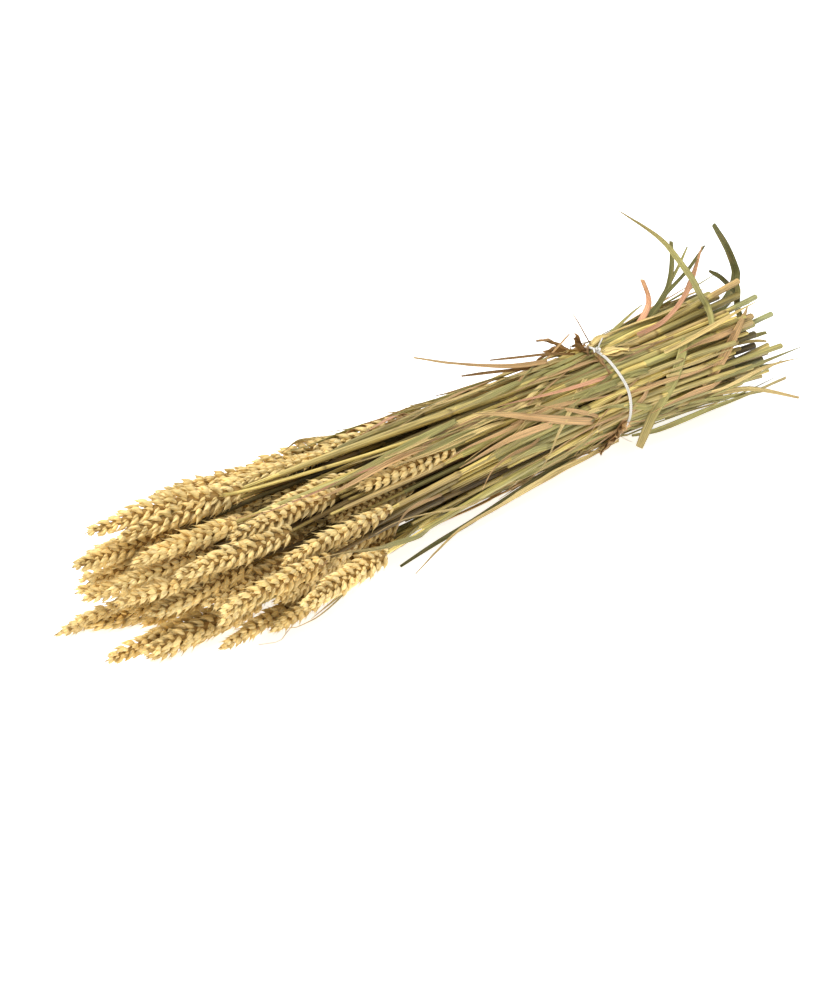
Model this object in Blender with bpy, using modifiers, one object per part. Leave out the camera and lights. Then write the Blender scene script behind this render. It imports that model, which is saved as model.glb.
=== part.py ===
"""A bunch of dried wheat, tied once with white cord and lying on its side.

Metres, +Z up. X runs along the bunch, with the ears at -X and the cut ends at +X.
Every stalk is one grown piece: a straw with its ear. Loose leaf blades and the tie
are pieces of their own. Neighbours never touch: they keep a small gap.
"""

import math

import bmesh
import bpy
import numpy as np
from mathutils import Matrix, Vector
from mathutils.geometry import convex_hull_2d

# ---- driving dimensions ----
STALKS = 46
BUNCH_LENGTH = 0.612  # from the foremost ear tip to the last cut end
EAR_STAGGER = 0.200  # how far the hindmost ear tip lies behind the foremost
CUT_STAGGER = 0.050  # how uneven the cut ends are
EAR_LENGTH = (0.080, 0.106)
EAR_RADIUS = 0.0064
NECK_RADIUS = 0.0012  # the straw just under its ear
STRAW_RADIUS = (0.0021, 0.0030)  # thin and thick straws, where leaf sheaths wrap them
BARE_STRAW = 0.14  # the straw thickens over this length below its ear
TIE_FROM_CUT = 0.154  # from the last cut end to the cord
CORD_RADIUS = 0.0006
CORD_PITCH = 0.0017
CORD_TURNS = 2
GAP = 0.0004  # clearance between neighbours
LEAF_THICKNESS = 0.0007
LEAF_STEP = 0.0095  # length of one stretch of a leaf's mesh
KNOT_SIZE = (0.0042, 0.0030, 0.0020)  # half of its length, width and height
TAILS = (("tail_a", 0.016), ("tail_b", -0.012))  # how far each cord end reaches in x

# ---- how the stalks lie ----
CROWDING = 0.38  # 0.5 spreads stalks evenly over the section, less crowds its rim
SWAY = (0.0042, 0.0028)  # each straw's own slow bends, sideways and upwards
SPLAY = (0.0075, 0.0045)  # spread of the ears' own directions, sideways and upwards
EASE_STEPS = 260  # moves from the straight bundle towards the spread one
FINISH_STEPS = 500  # moves that only part neighbours
SEED = 11

# ---- places along the bunch ----
TIP_X = -BUNCH_LENGTH / 2
CUT_X = BUNCH_LENGTH / 2
TIE_X = CUT_X - TIE_FROM_CUT
STATIONS = np.linspace(TIP_X, CUT_X, 18)  # where straws have their rings
CHECKS = np.linspace(TIP_X, CUT_X, 86)  # where clearances are kept
WEIGHTS = np.stack([np.interp(CHECKS, STATIONS, row) for row in np.eye(len(STATIONS))], axis=1)

# The bunch's cross-section: x, half width, half height, and its middle in y and z
SECTIONS = np.array((
    (TIP_X, 0.0780, 0.0320, -0.0080, 0.0400),
    (TIP_X + 0.20, 0.0500, 0.0330, -0.0050, 0.0390),
    (TIE_X, 0.0340, 0.0325, 0.0000, 0.0405),
    (CUT_X, 0.0440, 0.0350, 0.0000, 0.0445),
))

# One ear's outline: share of its length from the tip, share of its full radius
EAR_OUTLINE = np.array((
    (0.00, 0.16),
    (0.08, 0.54),
    (0.24, 0.92),
    (0.46, 1.00),
    (0.70, 0.92),
    (0.90, 0.62),
    (1.00, 0.26),
))

# Stalks that stray: degrees round the bunch from straight up towards +Y, how far
# sideways and upwards the ear tip goes from its place, and how far it is set back
STRAYS = (
    (-120, -0.020, -0.010, 0.136),
    (-100, -0.034, -0.012, 0.106),
    (-84, -0.022, -0.012, 0.062),
    (-66, -0.002, -0.022, 0.118),
    (100, 0.012, -0.010, 0.080),
    (30, 0.000, 0.002, 0.190),
)

# Loose leaf blades: name, width, and the route as x from the tie, y and z
LEAVES = (
    ("leaf_arching", 0.0058, (
        (0.098, -0.014, 0.060), (0.109, -0.009, 0.070), (0.116, -0.004, 0.081),
        (0.108, -0.005, 0.089), (0.103, -0.002, 0.101), (0.094, 0.002, 0.115),
        (0.078, 0.012, 0.139), (0.047, 0.025, 0.164))),
    ("leaf_dark_curled", 0.0068, (
        (0.139, 0.009, 0.062), (0.152, 0.011, 0.065), (0.163, 0.012, 0.071),
        (0.169, 0.013, 0.079), (0.171, 0.014, 0.089), (0.159, 0.015, 0.110),
        (0.140, 0.015, 0.134))),
    ("leaf_upright", 0.0042, (
        (0.076, 0.016, 0.076), (0.089, 0.017, 0.085), (0.097, 0.017, 0.096),
        (0.099, 0.017, 0.114), (0.096, 0.016, 0.131))),
    ("leaf_rust_tip", 0.0046, (
        (0.041, -0.004, 0.074), (0.071, -0.003, 0.080), (0.088, -0.002, 0.088),
        (0.102, 0.003, 0.094), (0.110, 0.006, 0.101), (0.121, 0.008, 0.124))),
    ("leaf_rust_stub", 0.0042, (
        (0.049, 0.010, 0.074), (0.060, 0.011, 0.077), (0.065, 0.011, 0.083),
        (0.069, 0.010, 0.094), (0.056, 0.007, 0.114))),
    ("leaf_over_end", 0.0068, (
        (0.145, -0.020, 0.078), (0.121, -0.029, 0.068), (0.097, -0.035, 0.054),
        (0.077, -0.038, 0.038))),
    ("leaf_tie_crossing", 0.0070, (
        (0.071, -0.022, 0.070), (0.047, -0.033, 0.054), (0.027, -0.038, 0.034),
        (0.009, -0.040, 0.010))),
    ("leaf_low_trailing", 0.0050, (
        (0.012, -0.030, 0.015), (0.032, -0.034, 0.014), (0.055, -0.038, 0.016),
        (0.080, -0.040, 0.018), (0.112, -0.041, 0.018), (0.146, -0.041, 0.018),
        (0.173, -0.040, 0.018))),
    ("leaf_end_spread", 0.0046, (
        (0.069, -0.034, 0.029), (0.099, -0.042, 0.028), (0.119, -0.049, 0.027),
        (0.140, -0.056, 0.020), (0.162, -0.062, 0.011))),
    ("leaf_top_stray", 0.0046, (
        (-0.043, 0.004, 0.078), (-0.071, 0.009, 0.081), (-0.097, 0.014, 0.087),
        (-0.125, 0.018, 0.096), (-0.154, 0.022, 0.107))),
    ("leaf_side_trailing", 0.0056, (
        (0.004, -0.024, 0.013), (-0.031, -0.030, 0.013), (-0.067, -0.036, 0.016),
        (-0.104, -0.043, 0.017), (-0.137, -0.048, 0.016), (-0.179, -0.055, 0.016),
        (-0.204, -0.061, 0.012), (-0.232, -0.068, 0.005))),
    ("leaf_crossing", 0.0070, (
        (-0.035, -0.036, 0.044), (-0.075, -0.036, 0.056), (-0.110, -0.034, 0.070),
        (-0.145, -0.028, 0.080))),
    ("leaf_over_ears", 0.0060, (
        (-0.153, -0.020, 0.074), (-0.195, -0.026, 0.074), (-0.235, -0.030, 0.072),
        (-0.277, -0.034, 0.070))),
)

COLOURS = {
    "stalk": ((0.62, 0.47, 0.22), 0.65),
    "leaf": ((0.40, 0.36, 0.17), 0.70),
    "leaf_rust": ((0.62, 0.36, 0.22), 0.70),
    "cord": ((0.85, 0.84, 0.80), 0.60),
}


def clear_scene():
    for obj in list(bpy.data.objects):
        bpy.data.objects.remove(obj)


def make_material(name):
    colour, roughness = COLOURS[name]
    material = bpy.data.materials.new(name)
    material.use_nodes = True
    shader = material.node_tree.nodes["Principled BSDF"]
    shader.inputs["Base Color"].default_value = (*colour, 1)
    shader.inputs["Roughness"].default_value = roughness
    shader.inputs["Metallic"].default_value = 0
    return material


def section(x):
    """The bunch's half width, half height, and middle in y and z, at x."""
    return [np.interp(x, SECTIONS[:, 0], column) for column in SECTIONS[:, 1:].T]


class Stalks:
    """Where every stalk runs: its ends, its ear, and its middle at each station."""

    def __init__(self):
        draw = np.random.RandomState(SEED)
        number = np.arange(STALKS)
        share = ((number + 0.5) / STALKS) ** CROWDING
        turn = number * math.pi * (3 - math.sqrt(5))
        self.disc = np.stack([share * np.cos(turn), share * np.sin(turn)], axis=1)
        outer = np.abs(self.disc[:, 0])
        late = draw.uniform(0, 1, STALKS) + 0.8 * outer ** 2 + 0.3 * self.disc[:, 1]
        order = late.argsort().argsort()
        self.tip = TIP_X + EAR_STAGGER * (order / (STALKS - 1)) ** 1.25
        self.ear = draw.uniform(*EAR_LENGTH, STALKS)
        self.cut = CUT_X - CUT_STAGGER * draw.permutation(STALKS) / (STALKS - 1)
        self.straw = draw.uniform(*STRAW_RADIUS, STALKS)
        self.strays = {}
        for degrees, *move in STRAYS:
            stray = self.rim_stalk(degrees)
            self.strays[stray] = move
            self.tip[stray] = TIP_X + move[2]
        self.radius = self.radii(CHECKS[None, :])
        self.place = self.settled(draw)

    def rim_stalk(self, degrees):
        """The stalk at the bunch's rim nearest to this direction that isn't a stray yet."""
        around = np.degrees(np.arctan2(self.disc[:, 0], self.disc[:, 1]))
        away = np.abs((around - degrees + 180) % 360 - 180)
        away -= 90 * np.hypot(*self.disc.T)
        away[list(self.strays)] = 360
        return int(away.argmin())

    def radii(self, x):
        """Each stalk's radius at x, and 0 past its ends."""
        along = (x - self.tip[:, None]) / self.ear[:, None]
        ear = EAR_RADIUS * np.interp(along, EAR_OUTLINE[:, 0], EAR_OUTLINE[:, 1])
        below = (x - (self.tip + self.ear)[:, None]) / BARE_STRAW
        straw = NECK_RADIUS + (self.straw[:, None] - NECK_RADIUS) * np.clip(below, 0, 1)
        radius = np.where(along < 1, np.maximum(ear, NECK_RADIUS), straw)
        grown = (along >= -0.02) & (x <= self.cut[:, None] + 0.002)
        return np.where(grown, radius, 0)

    def wanted(self, draw):
        """Where each stalk would run if it had the bunch to itself."""
        width, height, middle_y, middle_z = section(STATIONS)
        reach = np.clip((TIE_X - STATIONS) / (TIE_X - TIP_X), 0, None)
        place = np.empty((STALKS, len(STATIONS), 2))
        place[..., 0] = self.disc[:, :1] * width + middle_y
        place[..., 1] = self.disc[:, 1:] * height + middle_z
        for axis in (0, 1):
            bend = draw.uniform(0, 2 * math.pi, (STALKS, 1))
            waves = draw.uniform(0.5, 1.1, (STALKS, 1))
            angle = 2 * math.pi * waves * (STATIONS - TIE_X) / BUNCH_LENGTH + bend
            place[..., axis] += SWAY[axis] * (np.sin(angle) - np.sin(bend))
            splay = draw.normal(0, SPLAY[axis], (STALKS, 1))
            place[..., axis] += splay * reach ** 1.5
        for stray, (sideways, upwards, _) in self.strays.items():
            place[stray] += reach[:, None] ** 1.6 * np.array((sideways, upwards))
        return place

    def settled(self, draw):
        """The stalks eased from a straight bundle to their wanted places, kept apart
        and off the floor."""
        wanted = self.wanted(draw)
        tie = int(np.abs(STATIONS - TIE_X).argmin())
        place = np.repeat(wanted[:, tie:tie + 1], len(STATIONS), axis=1)
        raised = np.clip(1.3 - np.abs(CHECKS - TIE_X) / 0.04, 0, 1)
        floor = (2 * CORD_RADIUS + 3 * GAP) * raised
        for step in range(EASE_STEPS + FINISH_STEPS):
            if step < EASE_STEPS:
                place += 0.06 * (wanted - place)
                inner = place[:, 1:-1]
                inner += 0.20 * ((place[:, :-2] + place[:, 2:]) / 2 - inner)
            self.part_neighbours(place, floor)
        return place

    def part_neighbours(self, place, floor):
        """Pushes stalks that are too close apart, at every check at once."""
        grown = self.radius > 0
        keep = self.radius + GAP
        spot = np.einsum("cs,nsk->nck", WEIGHTS, place)
        off = spot[:, None] - spot[None]
        far = np.sqrt((off ** 2).sum(-1)) + 1e-9
        short = np.clip(keep[:, None] + keep[None] - far, 0, None)
        short *= grown[:, None] & grown[None]
        short[np.arange(STALKS), np.arange(STALKS)] = 0
        push = (off / far[..., None] * short[..., None]).sum(1) * 0.45
        lowest = np.where(grown, self.radius + floor, 0.002)
        push[..., 1] += np.clip(lowest - spot[..., 1] - push[..., 1], 0, None)
        pushed = (np.abs(push).sum(-1) > 0).astype(float)
        total = np.einsum("cs,nck->nsk", WEIGHTS, push)
        share = np.einsum("cs,nc->ns", WEIGHTS, pushed)
        place += total / np.maximum(share, 0.6)[..., None]

    def at(self, x):
        """Each stalk's middle and radius at x."""
        place = np.array([
            [np.interp(x, STATIONS, one[:, axis]) for axis in (0, 1)]
            for one in self.place
        ])
        return place, self.radii(np.array([[x]]))[:, 0]

    def outside(self, x, out, width):
        """How far the bunch reaches from its middle at x, in direction out, over a width."""
        side = np.array((out[1], -out[0]))
        place, radius = self.at(x)
        place = place - section(x)[2:]
        near = (radius > 0) & (np.abs(place @ side) < radius + width / 2)
        return float(((place @ out) + radius)[near].max()) if near.any() else 0.0


def smooth_route(points, step):
    """Points about a step apart on a smooth curve through these."""
    points = np.array(points, float)
    padded = np.vstack([2 * points[0] - points[1], points, 2 * points[-1] - points[-2]])
    fine = []
    for a, b, c, d in zip(padded, padded[1:], padded[2:], padded[3:]):
        for t in np.linspace(0, 1, 12, endpoint=False):
            fine.append(0.5 * (
                2 * b + (c - a) * t + (2 * a - 5 * b + 4 * c - d) * t ** 2
                + (3 * b - a - 3 * c + d) * t ** 3))
    fine = np.array(fine + [points[-1]])
    lengths = np.linalg.norm(np.diff(fine[:, [0, 2]], axis=0), axis=1)
    along = np.concatenate([[0], np.cumsum(lengths + 1e-6)])
    at = np.linspace(0, along[-1], max(6, round(along[-1] / step) + 1))
    return np.stack([np.interp(at, along, fine[:, i]) for i in range(3)], axis=1)


def link(obj, collection, material):
    collection.objects.link(obj)
    obj.data.materials.append(material)
    return obj


def tube(name, points, radii, thickness, resolution):
    """A curve object with round stretches through these points, closed at both ends."""
    curve = bpy.data.curves.new(name, "CURVE")
    curve.dimensions = "3D"
    curve.bevel_depth = thickness
    curve.bevel_resolution = resolution
    curve.use_fill_caps = True
    spline = curve.splines.new("POLY")
    spline.points.add(len(points) - 1)
    for point, place, radius in zip(spline.points, points, radii):
        point.co = (*place, 1)
        point.radius = radius / thickness
    return bpy.data.objects.new(name, curve)


def make_stalk(stalks, number, collection, material):
    tip, ear, cut = stalks.tip[number], stalks.ear[number], stalks.cut[number]
    ear_rings = tip + ear * EAR_OUTLINE[:, 0]
    straw_rings = STATIONS[(STATIONS > tip + ear + 0.008) & (STATIONS < cut - 0.008)]
    rings = np.concatenate([ear_rings, straw_rings, [cut]])
    place = stalks.place[number]
    y, z = (np.interp(rings, STATIONS, place[:, axis]) for axis in (0, 1))
    radii = stalks.radii(rings[None, :].repeat(STALKS, 0))[number]
    radii[0] = EAR_RADIUS * EAR_OUTLINE[0, 1]
    obj = tube(f"stalk_{number + 1:02d}", np.stack([rings, y, z], 1), radii, EAR_RADIUS, 1)
    return link(obj, collection, material)


def leaf_path(stalks, width, route):
    """Points along a leaf, pushed out clear of the stalks and the cord, and the way
    its upper face looks at each."""
    fine = smooth_route([(TIE_X + x, y, z) for x, y, z in route], LEAF_STEP)
    middles = np.array([(x, *section(x)[2:]) for x, _, _ in fine])
    away = np.linalg.norm((fine - middles)[:, 1:], axis=1)
    outs = (fine - middles)[:, 1:] / away[:, None]
    clear = np.array([stalks.outside(x, out, width) for (x, _, _), out in zip(fine, outs)])
    clear = np.pad(clear, 1, mode="edge")
    clear = np.maximum(np.maximum(clear[:-2], clear[2:]), clear[1:-1])
    over_cord = np.clip(1.6 - np.abs(fine[:, 0] - TIE_X) / 0.010, 0, 1)
    clear += LEAF_THICKNESS / 2 + 2 * GAP + over_cord * (2 * CORD_RADIUS + GAP)
    places, faces = [], []
    for middle, out, reach in zip(middles, outs, np.maximum(away, clear)):
        place = Vector(middle) + Vector((0, *out)) * reach
        place.z = max(place.z, LEAF_THICKNESS + width / 2 * abs(out[0]))
        places.append(place)
        faces.append(Vector((0, *out)))
    last = len(places) - 1
    for i in range(last + 1):
        along = (places[min(i + 1, last)] - places[max(i - 1, 0)]).normalized()
        lifted = i and away[i] > clear[i] + 0.004
        face = faces[i - 1] if lifted else faces[i]
        faces[i] = (face - along * face.dot(along)).normalized()
    return places, faces


def make_leaf(stalks, name, width, route, collection, material):
    """A blade that is narrow at both ends, drawn out one stretch at a time."""
    places, faces = leaf_path(stalks, width, route)
    bm = bmesh.new()
    last = len(places) - 1
    edge = None
    for i, (place, face) in enumerate(zip(places, faces)):
        along = (places[min(i + 1, last)] - places[max(i - 1, 0)]).normalized()
        side = along.cross(face).normalized()
        share = i / last
        half = width / 2 * min(1, 0.45 + 2.2 * share, 0.16 + 2.4 * (1 - share))
        ends = (place - side * half, place + side * half)
        if edge is None:
            edge = bm.edges.new([bm.verts.new(end) for end in ends])
        else:
            made = bmesh.ops.extrude_edge_only(bm, edges=[edge])["geom"]
            edge = next(e for e in made if isinstance(e, bmesh.types.BMEdge))
            before = [v.co.copy() for v in edge.verts]
            swap = (before[0] - before[1]).dot(side) > 0
            for vert, end in zip(edge.verts, ends[::-1] if swap else ends):
                vert.co = end
    bmesh.ops.recalc_face_normals(bm, faces=bm.faces)
    mesh = bpy.data.meshes.new(name)
    bm.to_mesh(mesh)
    bm.free()
    obj = link(bpy.data.objects.new(name, mesh), collection, material)
    wall = obj.modifiers.new("Blade thickness", "SOLIDIFY")
    wall.thickness = LEAF_THICKNESS
    wall.offset = 0
    return obj


def tie_outline(stalks):
    """The cord's tight loop round the straws, as points in Y and Z that start at its top."""
    sides = 24
    points = []
    for x in (TIE_X - CORD_PITCH * 1.5, TIE_X, TIE_X + CORD_PITCH * 1.5):
        place, radius = stalks.at(x)
        for (y, z), r in zip(place, radius + GAP + CORD_RADIUS):
            for step in range(sides):
                turn = 2 * math.pi * step / sides
                points.append(Vector((y + r * math.cos(turn), z + r * math.sin(turn))))
    hull = [points[i] for i in convex_hull_2d(points)]
    top = max(range(len(hull)), key=lambda i: hull[i].y)
    return hull[top:] + hull[:top]


def evaluated_mesh(obj):
    """The object's mesh in world space, with a curve's loose caps joined on."""
    graph = bpy.context.evaluated_depsgraph_get()
    mesh = bpy.data.meshes.new_from_object(obj.evaluated_get(graph))
    mesh.transform(obj.matrix_world)
    bm = bmesh.new()
    bm.from_mesh(mesh)
    bmesh.ops.remove_doubles(bm, verts=bm.verts, dist=0.00001)
    bmesh.ops.recalc_face_normals(bm, faces=bm.faces)
    bm.to_mesh(mesh)
    bm.free()
    return mesh


def join_solids(name, objects, cutters):
    """One object that is the union of these."""
    for obj in objects:
        cutters.objects.link(obj)
    bpy.context.view_layer.update()
    body = bpy.data.objects.new(name, evaluated_mesh(objects[0]))
    for obj in objects[1:]:
        other = bpy.data.objects.new(f"{obj.name}_solid", evaluated_mesh(obj))
        cutters.objects.link(other)
        other.hide_render = True
        other.display_type = "WIRE"
        union = body.modifiers.new(obj.name, "BOOLEAN")
        union.operation = "UNION"
        union.object = other
    for obj in objects:
        bpy.data.objects.remove(obj)
    return body


def make_tie(stalks, collection, cutters, material):
    """The cord: turns side by side, a flat knot on top and two short tails."""
    loop = tie_outline(stalks)
    steps = CORD_TURNS * len(loop)
    points = []
    for step in range(steps + 1):
        x = TIE_X + CORD_PITCH * CORD_TURNS * (step / steps - 0.5)
        points.append((x, *loop[step % len(loop)]))
    wrap = tube("wrap", points, [CORD_RADIUS] * len(points), CORD_RADIUS, 2)
    top = Vector((TIE_X, loop[0].x, loop[0].y + 1.5 * CORD_RADIUS))
    knot_mesh = bpy.data.meshes.new("knot")
    bm = bmesh.new()
    size = Matrix.Diagonal((*KNOT_SIZE, 1))
    bmesh.ops.create_uvsphere(
        bm, u_segments=12, v_segments=8, radius=1, matrix=Matrix.Translation(top) @ size)
    bm.to_mesh(knot_mesh)
    bm.free()
    knot = bpy.data.objects.new("knot", knot_mesh)
    tails = []
    for name, reach in TAILS:
        route = (
            top,
            top + Vector((0.30 * reach, 0.004, 0.0022)),
            top + Vector((0.65 * reach, 0.008, 0.0036)),
            top + Vector((reach, 0.010, 0.0030)),
        )
        fine = smooth_route([tuple(p) for p in route], 0.002)
        tails.append(tube(name, fine, [CORD_RADIUS] * len(fine), CORD_RADIUS, 1))
    tie = join_solids("tie_cord", [wrap, knot, *tails], cutters)
    return link(tie, collection, material)


def recentre(objects):
    """Puts the middle of the bunch's footprint at the origin and its lowest point at z = 0."""
    bpy.context.view_layer.update()
    graph = bpy.context.evaluated_depsgraph_get()
    corners = []
    for obj in objects:
        mesh = obj.evaluated_get(graph).to_mesh()
        corners += [obj.matrix_world @ vert.co for vert in mesh.vertices]
        obj.evaluated_get(graph).to_mesh_clear()
    corners = np.array(corners)
    low, high = corners.min(0), corners.max(0)
    move = Vector((-(low[0] + high[0]) / 2, -(low[1] + high[1]) / 2, -low[2]))
    for obj in bpy.data.objects:
        obj.location += move


def main():
    clear_scene()
    parts = bpy.data.collections.new("dried_wheat_bunch")
    cutters = bpy.data.collections.new("cutters")
    for collection in (parts, cutters):
        bpy.context.scene.collection.children.link(collection)
    materials = {name: make_material(name) for name in COLOURS}
    stalks = Stalks()
    made = [make_stalk(stalks, n, parts, materials["stalk"]) for n in range(STALKS)]
    for name, width, route in LEAVES:
        finish = materials["leaf_rust" if "rust" in name else "leaf"]
        made.append(make_leaf(stalks, name, width, route, parts, finish))
    made.append(make_tie(stalks, parts, cutters, materials["cord"]))
    recentre(made)


main()
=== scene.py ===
"""The looks of a tied bunch of dried wheat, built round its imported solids.

Metres, +Z up. X runs along the bunch, with the ears at -X and the cut ends at +X.
The solids give where each stalk, leaf blade and the tie runs. Here every ear gets its
spikelets, every straw its nodes and sheaths, and the cord its plies.
"""

import functools
import math

import bmesh
import bpy
import numpy as np
from bpy.props import FloatProperty, FloatVectorProperty, IntProperty, PointerProperty
from mathutils import Matrix, Vector


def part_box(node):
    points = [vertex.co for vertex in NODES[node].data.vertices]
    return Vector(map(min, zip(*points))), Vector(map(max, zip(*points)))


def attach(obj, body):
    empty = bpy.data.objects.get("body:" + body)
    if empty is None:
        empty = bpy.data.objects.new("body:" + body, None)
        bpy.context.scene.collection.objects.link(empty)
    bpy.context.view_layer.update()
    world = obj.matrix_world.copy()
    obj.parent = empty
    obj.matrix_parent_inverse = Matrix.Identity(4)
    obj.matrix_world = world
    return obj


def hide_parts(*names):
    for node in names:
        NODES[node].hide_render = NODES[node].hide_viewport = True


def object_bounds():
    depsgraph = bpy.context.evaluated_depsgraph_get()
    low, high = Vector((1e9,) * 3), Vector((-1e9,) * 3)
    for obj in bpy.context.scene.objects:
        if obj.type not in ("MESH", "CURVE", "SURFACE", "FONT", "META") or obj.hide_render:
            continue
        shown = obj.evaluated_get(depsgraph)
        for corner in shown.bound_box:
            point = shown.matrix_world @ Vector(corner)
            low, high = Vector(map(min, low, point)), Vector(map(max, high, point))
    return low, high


bl_info = {
    "name": "Dried wheat bunch",
    "version": (1, 0, 0),
    "blender": (4, 5, 0),
    "location": "3D View > Sidebar > Wheat",
    "description": "Builds the ears, straws, leaves and tie of a bunch of dried wheat",
    "category": "Add Mesh",
}

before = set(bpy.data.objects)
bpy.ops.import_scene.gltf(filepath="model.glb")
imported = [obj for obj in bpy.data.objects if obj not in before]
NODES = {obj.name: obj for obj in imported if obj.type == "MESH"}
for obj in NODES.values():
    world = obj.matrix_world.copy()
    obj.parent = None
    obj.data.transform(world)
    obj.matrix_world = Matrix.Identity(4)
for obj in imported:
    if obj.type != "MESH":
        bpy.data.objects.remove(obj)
CAD_BOX = [np.array(corner, float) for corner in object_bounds()]
STALK_NODES = sorted(name for name in NODES if name.startswith("stalk_"))
LEAF_NODES = sorted(name for name in NODES if name.startswith("leaf_"))

GRID = 0.004  # spacing of the points that describe a stalk's run
EAR_RINGS = 7  # rings that a stalk's solid has along its ear
RING_GAP = 0.0035  # rings of a stalk's solid are further apart than this in x
SMOOTHING = 26  # passes that round a stalk's run off
DEEP_SHADE = (0.22, 0.17, 0.085)  # painted shade: how much red, green and blue a straw keeps deep in the bunch
BRIM = 0.262  # the cut ends start to thin out past this x
TIE_RISE = 0.036  # height of the tie's middle above its underside
EASE = 0.0020  # pieces that come this close to the solids' box are eased back inside it
FRONT = (-0.59, -0.67, 0.45)  # the way that free blades turn their flat sides
STATION_STEP = 0.012  # spacing of the cross-sections at which the bunch is measured
SKIN_WAYS = 72  # directions in which a cross-section's reach is measured
TIE_CHOICES = 4000  # places at the tie that the filling straws are chosen from
PARTING_STEPS = 90  # passes that push the filling straws apart
EAR_STARTS = (-0.300, -0.150)  # x of the filling ears' tips, first and last
STRAW_STARTS = (-0.150, 0.030)  # x where the filling straws without an ear begin
STRAW_CUTS = (0.252, 0.300)  # x of the filling straws' cut ends
STRAW_RADII = (0.0012, 0.0025)  # of the filling straws
STRAW_GAP = 0.0002  # kept between neighbouring straws
EAR_POINTS = 60  # points along an ear's middle line
BLADE_POINTS = 31  # points along a loose blade
END_BLADES = 11  # in each of the two groups at the cut ends
CORD_TURNS = 2  # times that the cord goes round
CORD_START = 96  # degrees round the tie at which the cord's wrap begins
FLOOR_REACH = 16  # metres from the middle of the floor to its sides
CAMERA_REACH = 60  # metres that the camera sees
LAMP_SIZE = 1.6
LAMP_PLACE = (0.9, 1.3, 1.5)  # from the tie: towards the camera, to its left, and up


def paint(code):
    """A colour written as six hexadecimal digits, in linear light."""
    shares = [int(code[i:i + 2], 16) / 255 for i in (0, 2, 4)]
    return tuple(((s + 0.055) / 1.055) ** 2.4 if s > 0.04 else s / 12.92 for s in shares)


def colour_setting(name, description, code):
    return FloatVectorProperty(
        name=name, description=description, subtype="COLOR", size=3,
        min=0, max=1, default=paint(code))


def length_setting(name, description, default):
    return FloatProperty(
        name=name, description=description, subtype="DISTANCE", unit="LENGTH",
        precision=5, default=default)


def angle_setting(name, description, degrees):
    return FloatProperty(
        name=name, description=description, subtype="ANGLE", unit="ROTATION",
        default=math.radians(degrees))


# ---- settings ----
class EarSettings(bpy.types.PropertyGroup):
    spikelets: IntProperty(
        name="Spikelets", description="Spikelets along one ear", default=24, min=9)
    length: length_setting("Floret length", "Length of a full floret", 0.0108)
    width: length_setting("Floret width", "Width of a full floret", 0.0045)
    depth: length_setting("Floret depth", "Thickness of a full floret", 0.0044)
    core: length_setting("Core", "Half the thickness of an ear's hidden middle", 0.0030)
    opening: angle_setting("Opening", "Lean of a spikelet away from its ear", 24)
    gold: colour_setting("Gold", "Most of the florets", "ecce84")
    pale: colour_setting("Pale", "The palest florets", "f6e2aa")
    tan: colour_setting("Tan", "The darkest florets", "d4ae62")
    # Shade is painted shade: it darkens the florets' feet and, mixed with tan, the ear's hidden
    # middle.
    shade: colour_setting("Shade", "The feet of the florets", "83602a")


class StrawSettings(bpy.types.PropertyGroup):
    extra_straws: IntProperty(
        name="Filling straws", description="Straws between the solid stalks", default=115)
    extra_ears: IntProperty(
        name="Filling ears", description="How many of the filling straws bear an ear",
        default=26)
    wall: length_setting("Wall", "Thickness of a straw's wall at its cut", 0.0006)
    sheath: length_setting("Sheath", "Thickness of the leaf sheath round a straw", 0.00045)
    yellow: colour_setting("Yellow", "Bare straw", "e2ca76")
    olive: colour_setting("Olive", "Olive sheaths", "b8ac60")
    grey_green: colour_setting("Grey green", "Greyish green sheaths", "a6a870")
    tan: colour_setting("Tan", "Tan sheaths", "cca86c")
    node: colour_setting("Node", "The joints of a straw", "7d6332")


class LeafSettings(bpy.types.PropertyGroup):
    groups: IntProperty(name="Groups", description="Groups of loose leaves", default=12)
    per_group: IntProperty(name="Leaves in a group", description="Blades each", default=15)
    thickness: length_setting("Thickness", "Thickness of a dry blade", 0.00025)
    khaki: colour_setting("Khaki", "Greenish dry blades", "aaa260")
    straw: colour_setting("Straw", "Yellow dry blades", "dcc27e")
    tan: colour_setting("Tan", "Brown dry blades", "d0a872")
    dark: colour_setting("Dark", "Dark green dry blades", "6d6a35")
    rust: colour_setting("Rust", "Reddish dry blades", "d6a07a")
    brown: colour_setting("Brown", "Crumpled brown sheaths", "a47c48")


class CordSettings(bpy.types.PropertyGroup):
    radius: length_setting("Radius", "Half the cord's thickness", 0.0006)
    lay: length_setting("Lay", "Length of one full turn of the plies", 0.0030)
    pitch: length_setting("Pitch", "Distance between the two turns", 0.0017)
    white: colour_setting("White", "The cotton", "e6e3dc")


class StageSettings(bpy.types.PropertyGroup):
    azimuth: angle_setting("Azimuth", "Direction that the camera looks from", -41.5)
    elevation: angle_setting("Elevation", "Height of the camera above level", 27)
    distance: length_setting("Distance", "From the camera to the tie", 1.641)
    lens: FloatProperty(
        name="Lens", description="Focal length", subtype="DISTANCE_CAMERA", default=81.25)
    aside: length_setting("Aside", "How far right of the middle the tie stands", 0.1331)
    above: length_setting("Above", "How far above the middle the tie stands", 0.0775)
    floor: colour_setting("Floor", "The paper underneath", "f7f7f7")
    key: FloatProperty(name="Key light", description="Power of the large lamp", default=68)
    sky: FloatProperty(name="Sky", description="Strength of the light all round", default=0.74)
    glow: FloatProperty(name="Glow", description="Light from the paper itself", default=0.72)


SETTINGS = {
    "wheat_ears": EarSettings,
    "wheat_straws": StrawSettings,
    "wheat_leaves": LeafSettings,
    "wheat_cord": CordSettings,
    "wheat_stage": StageSettings,
}


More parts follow.
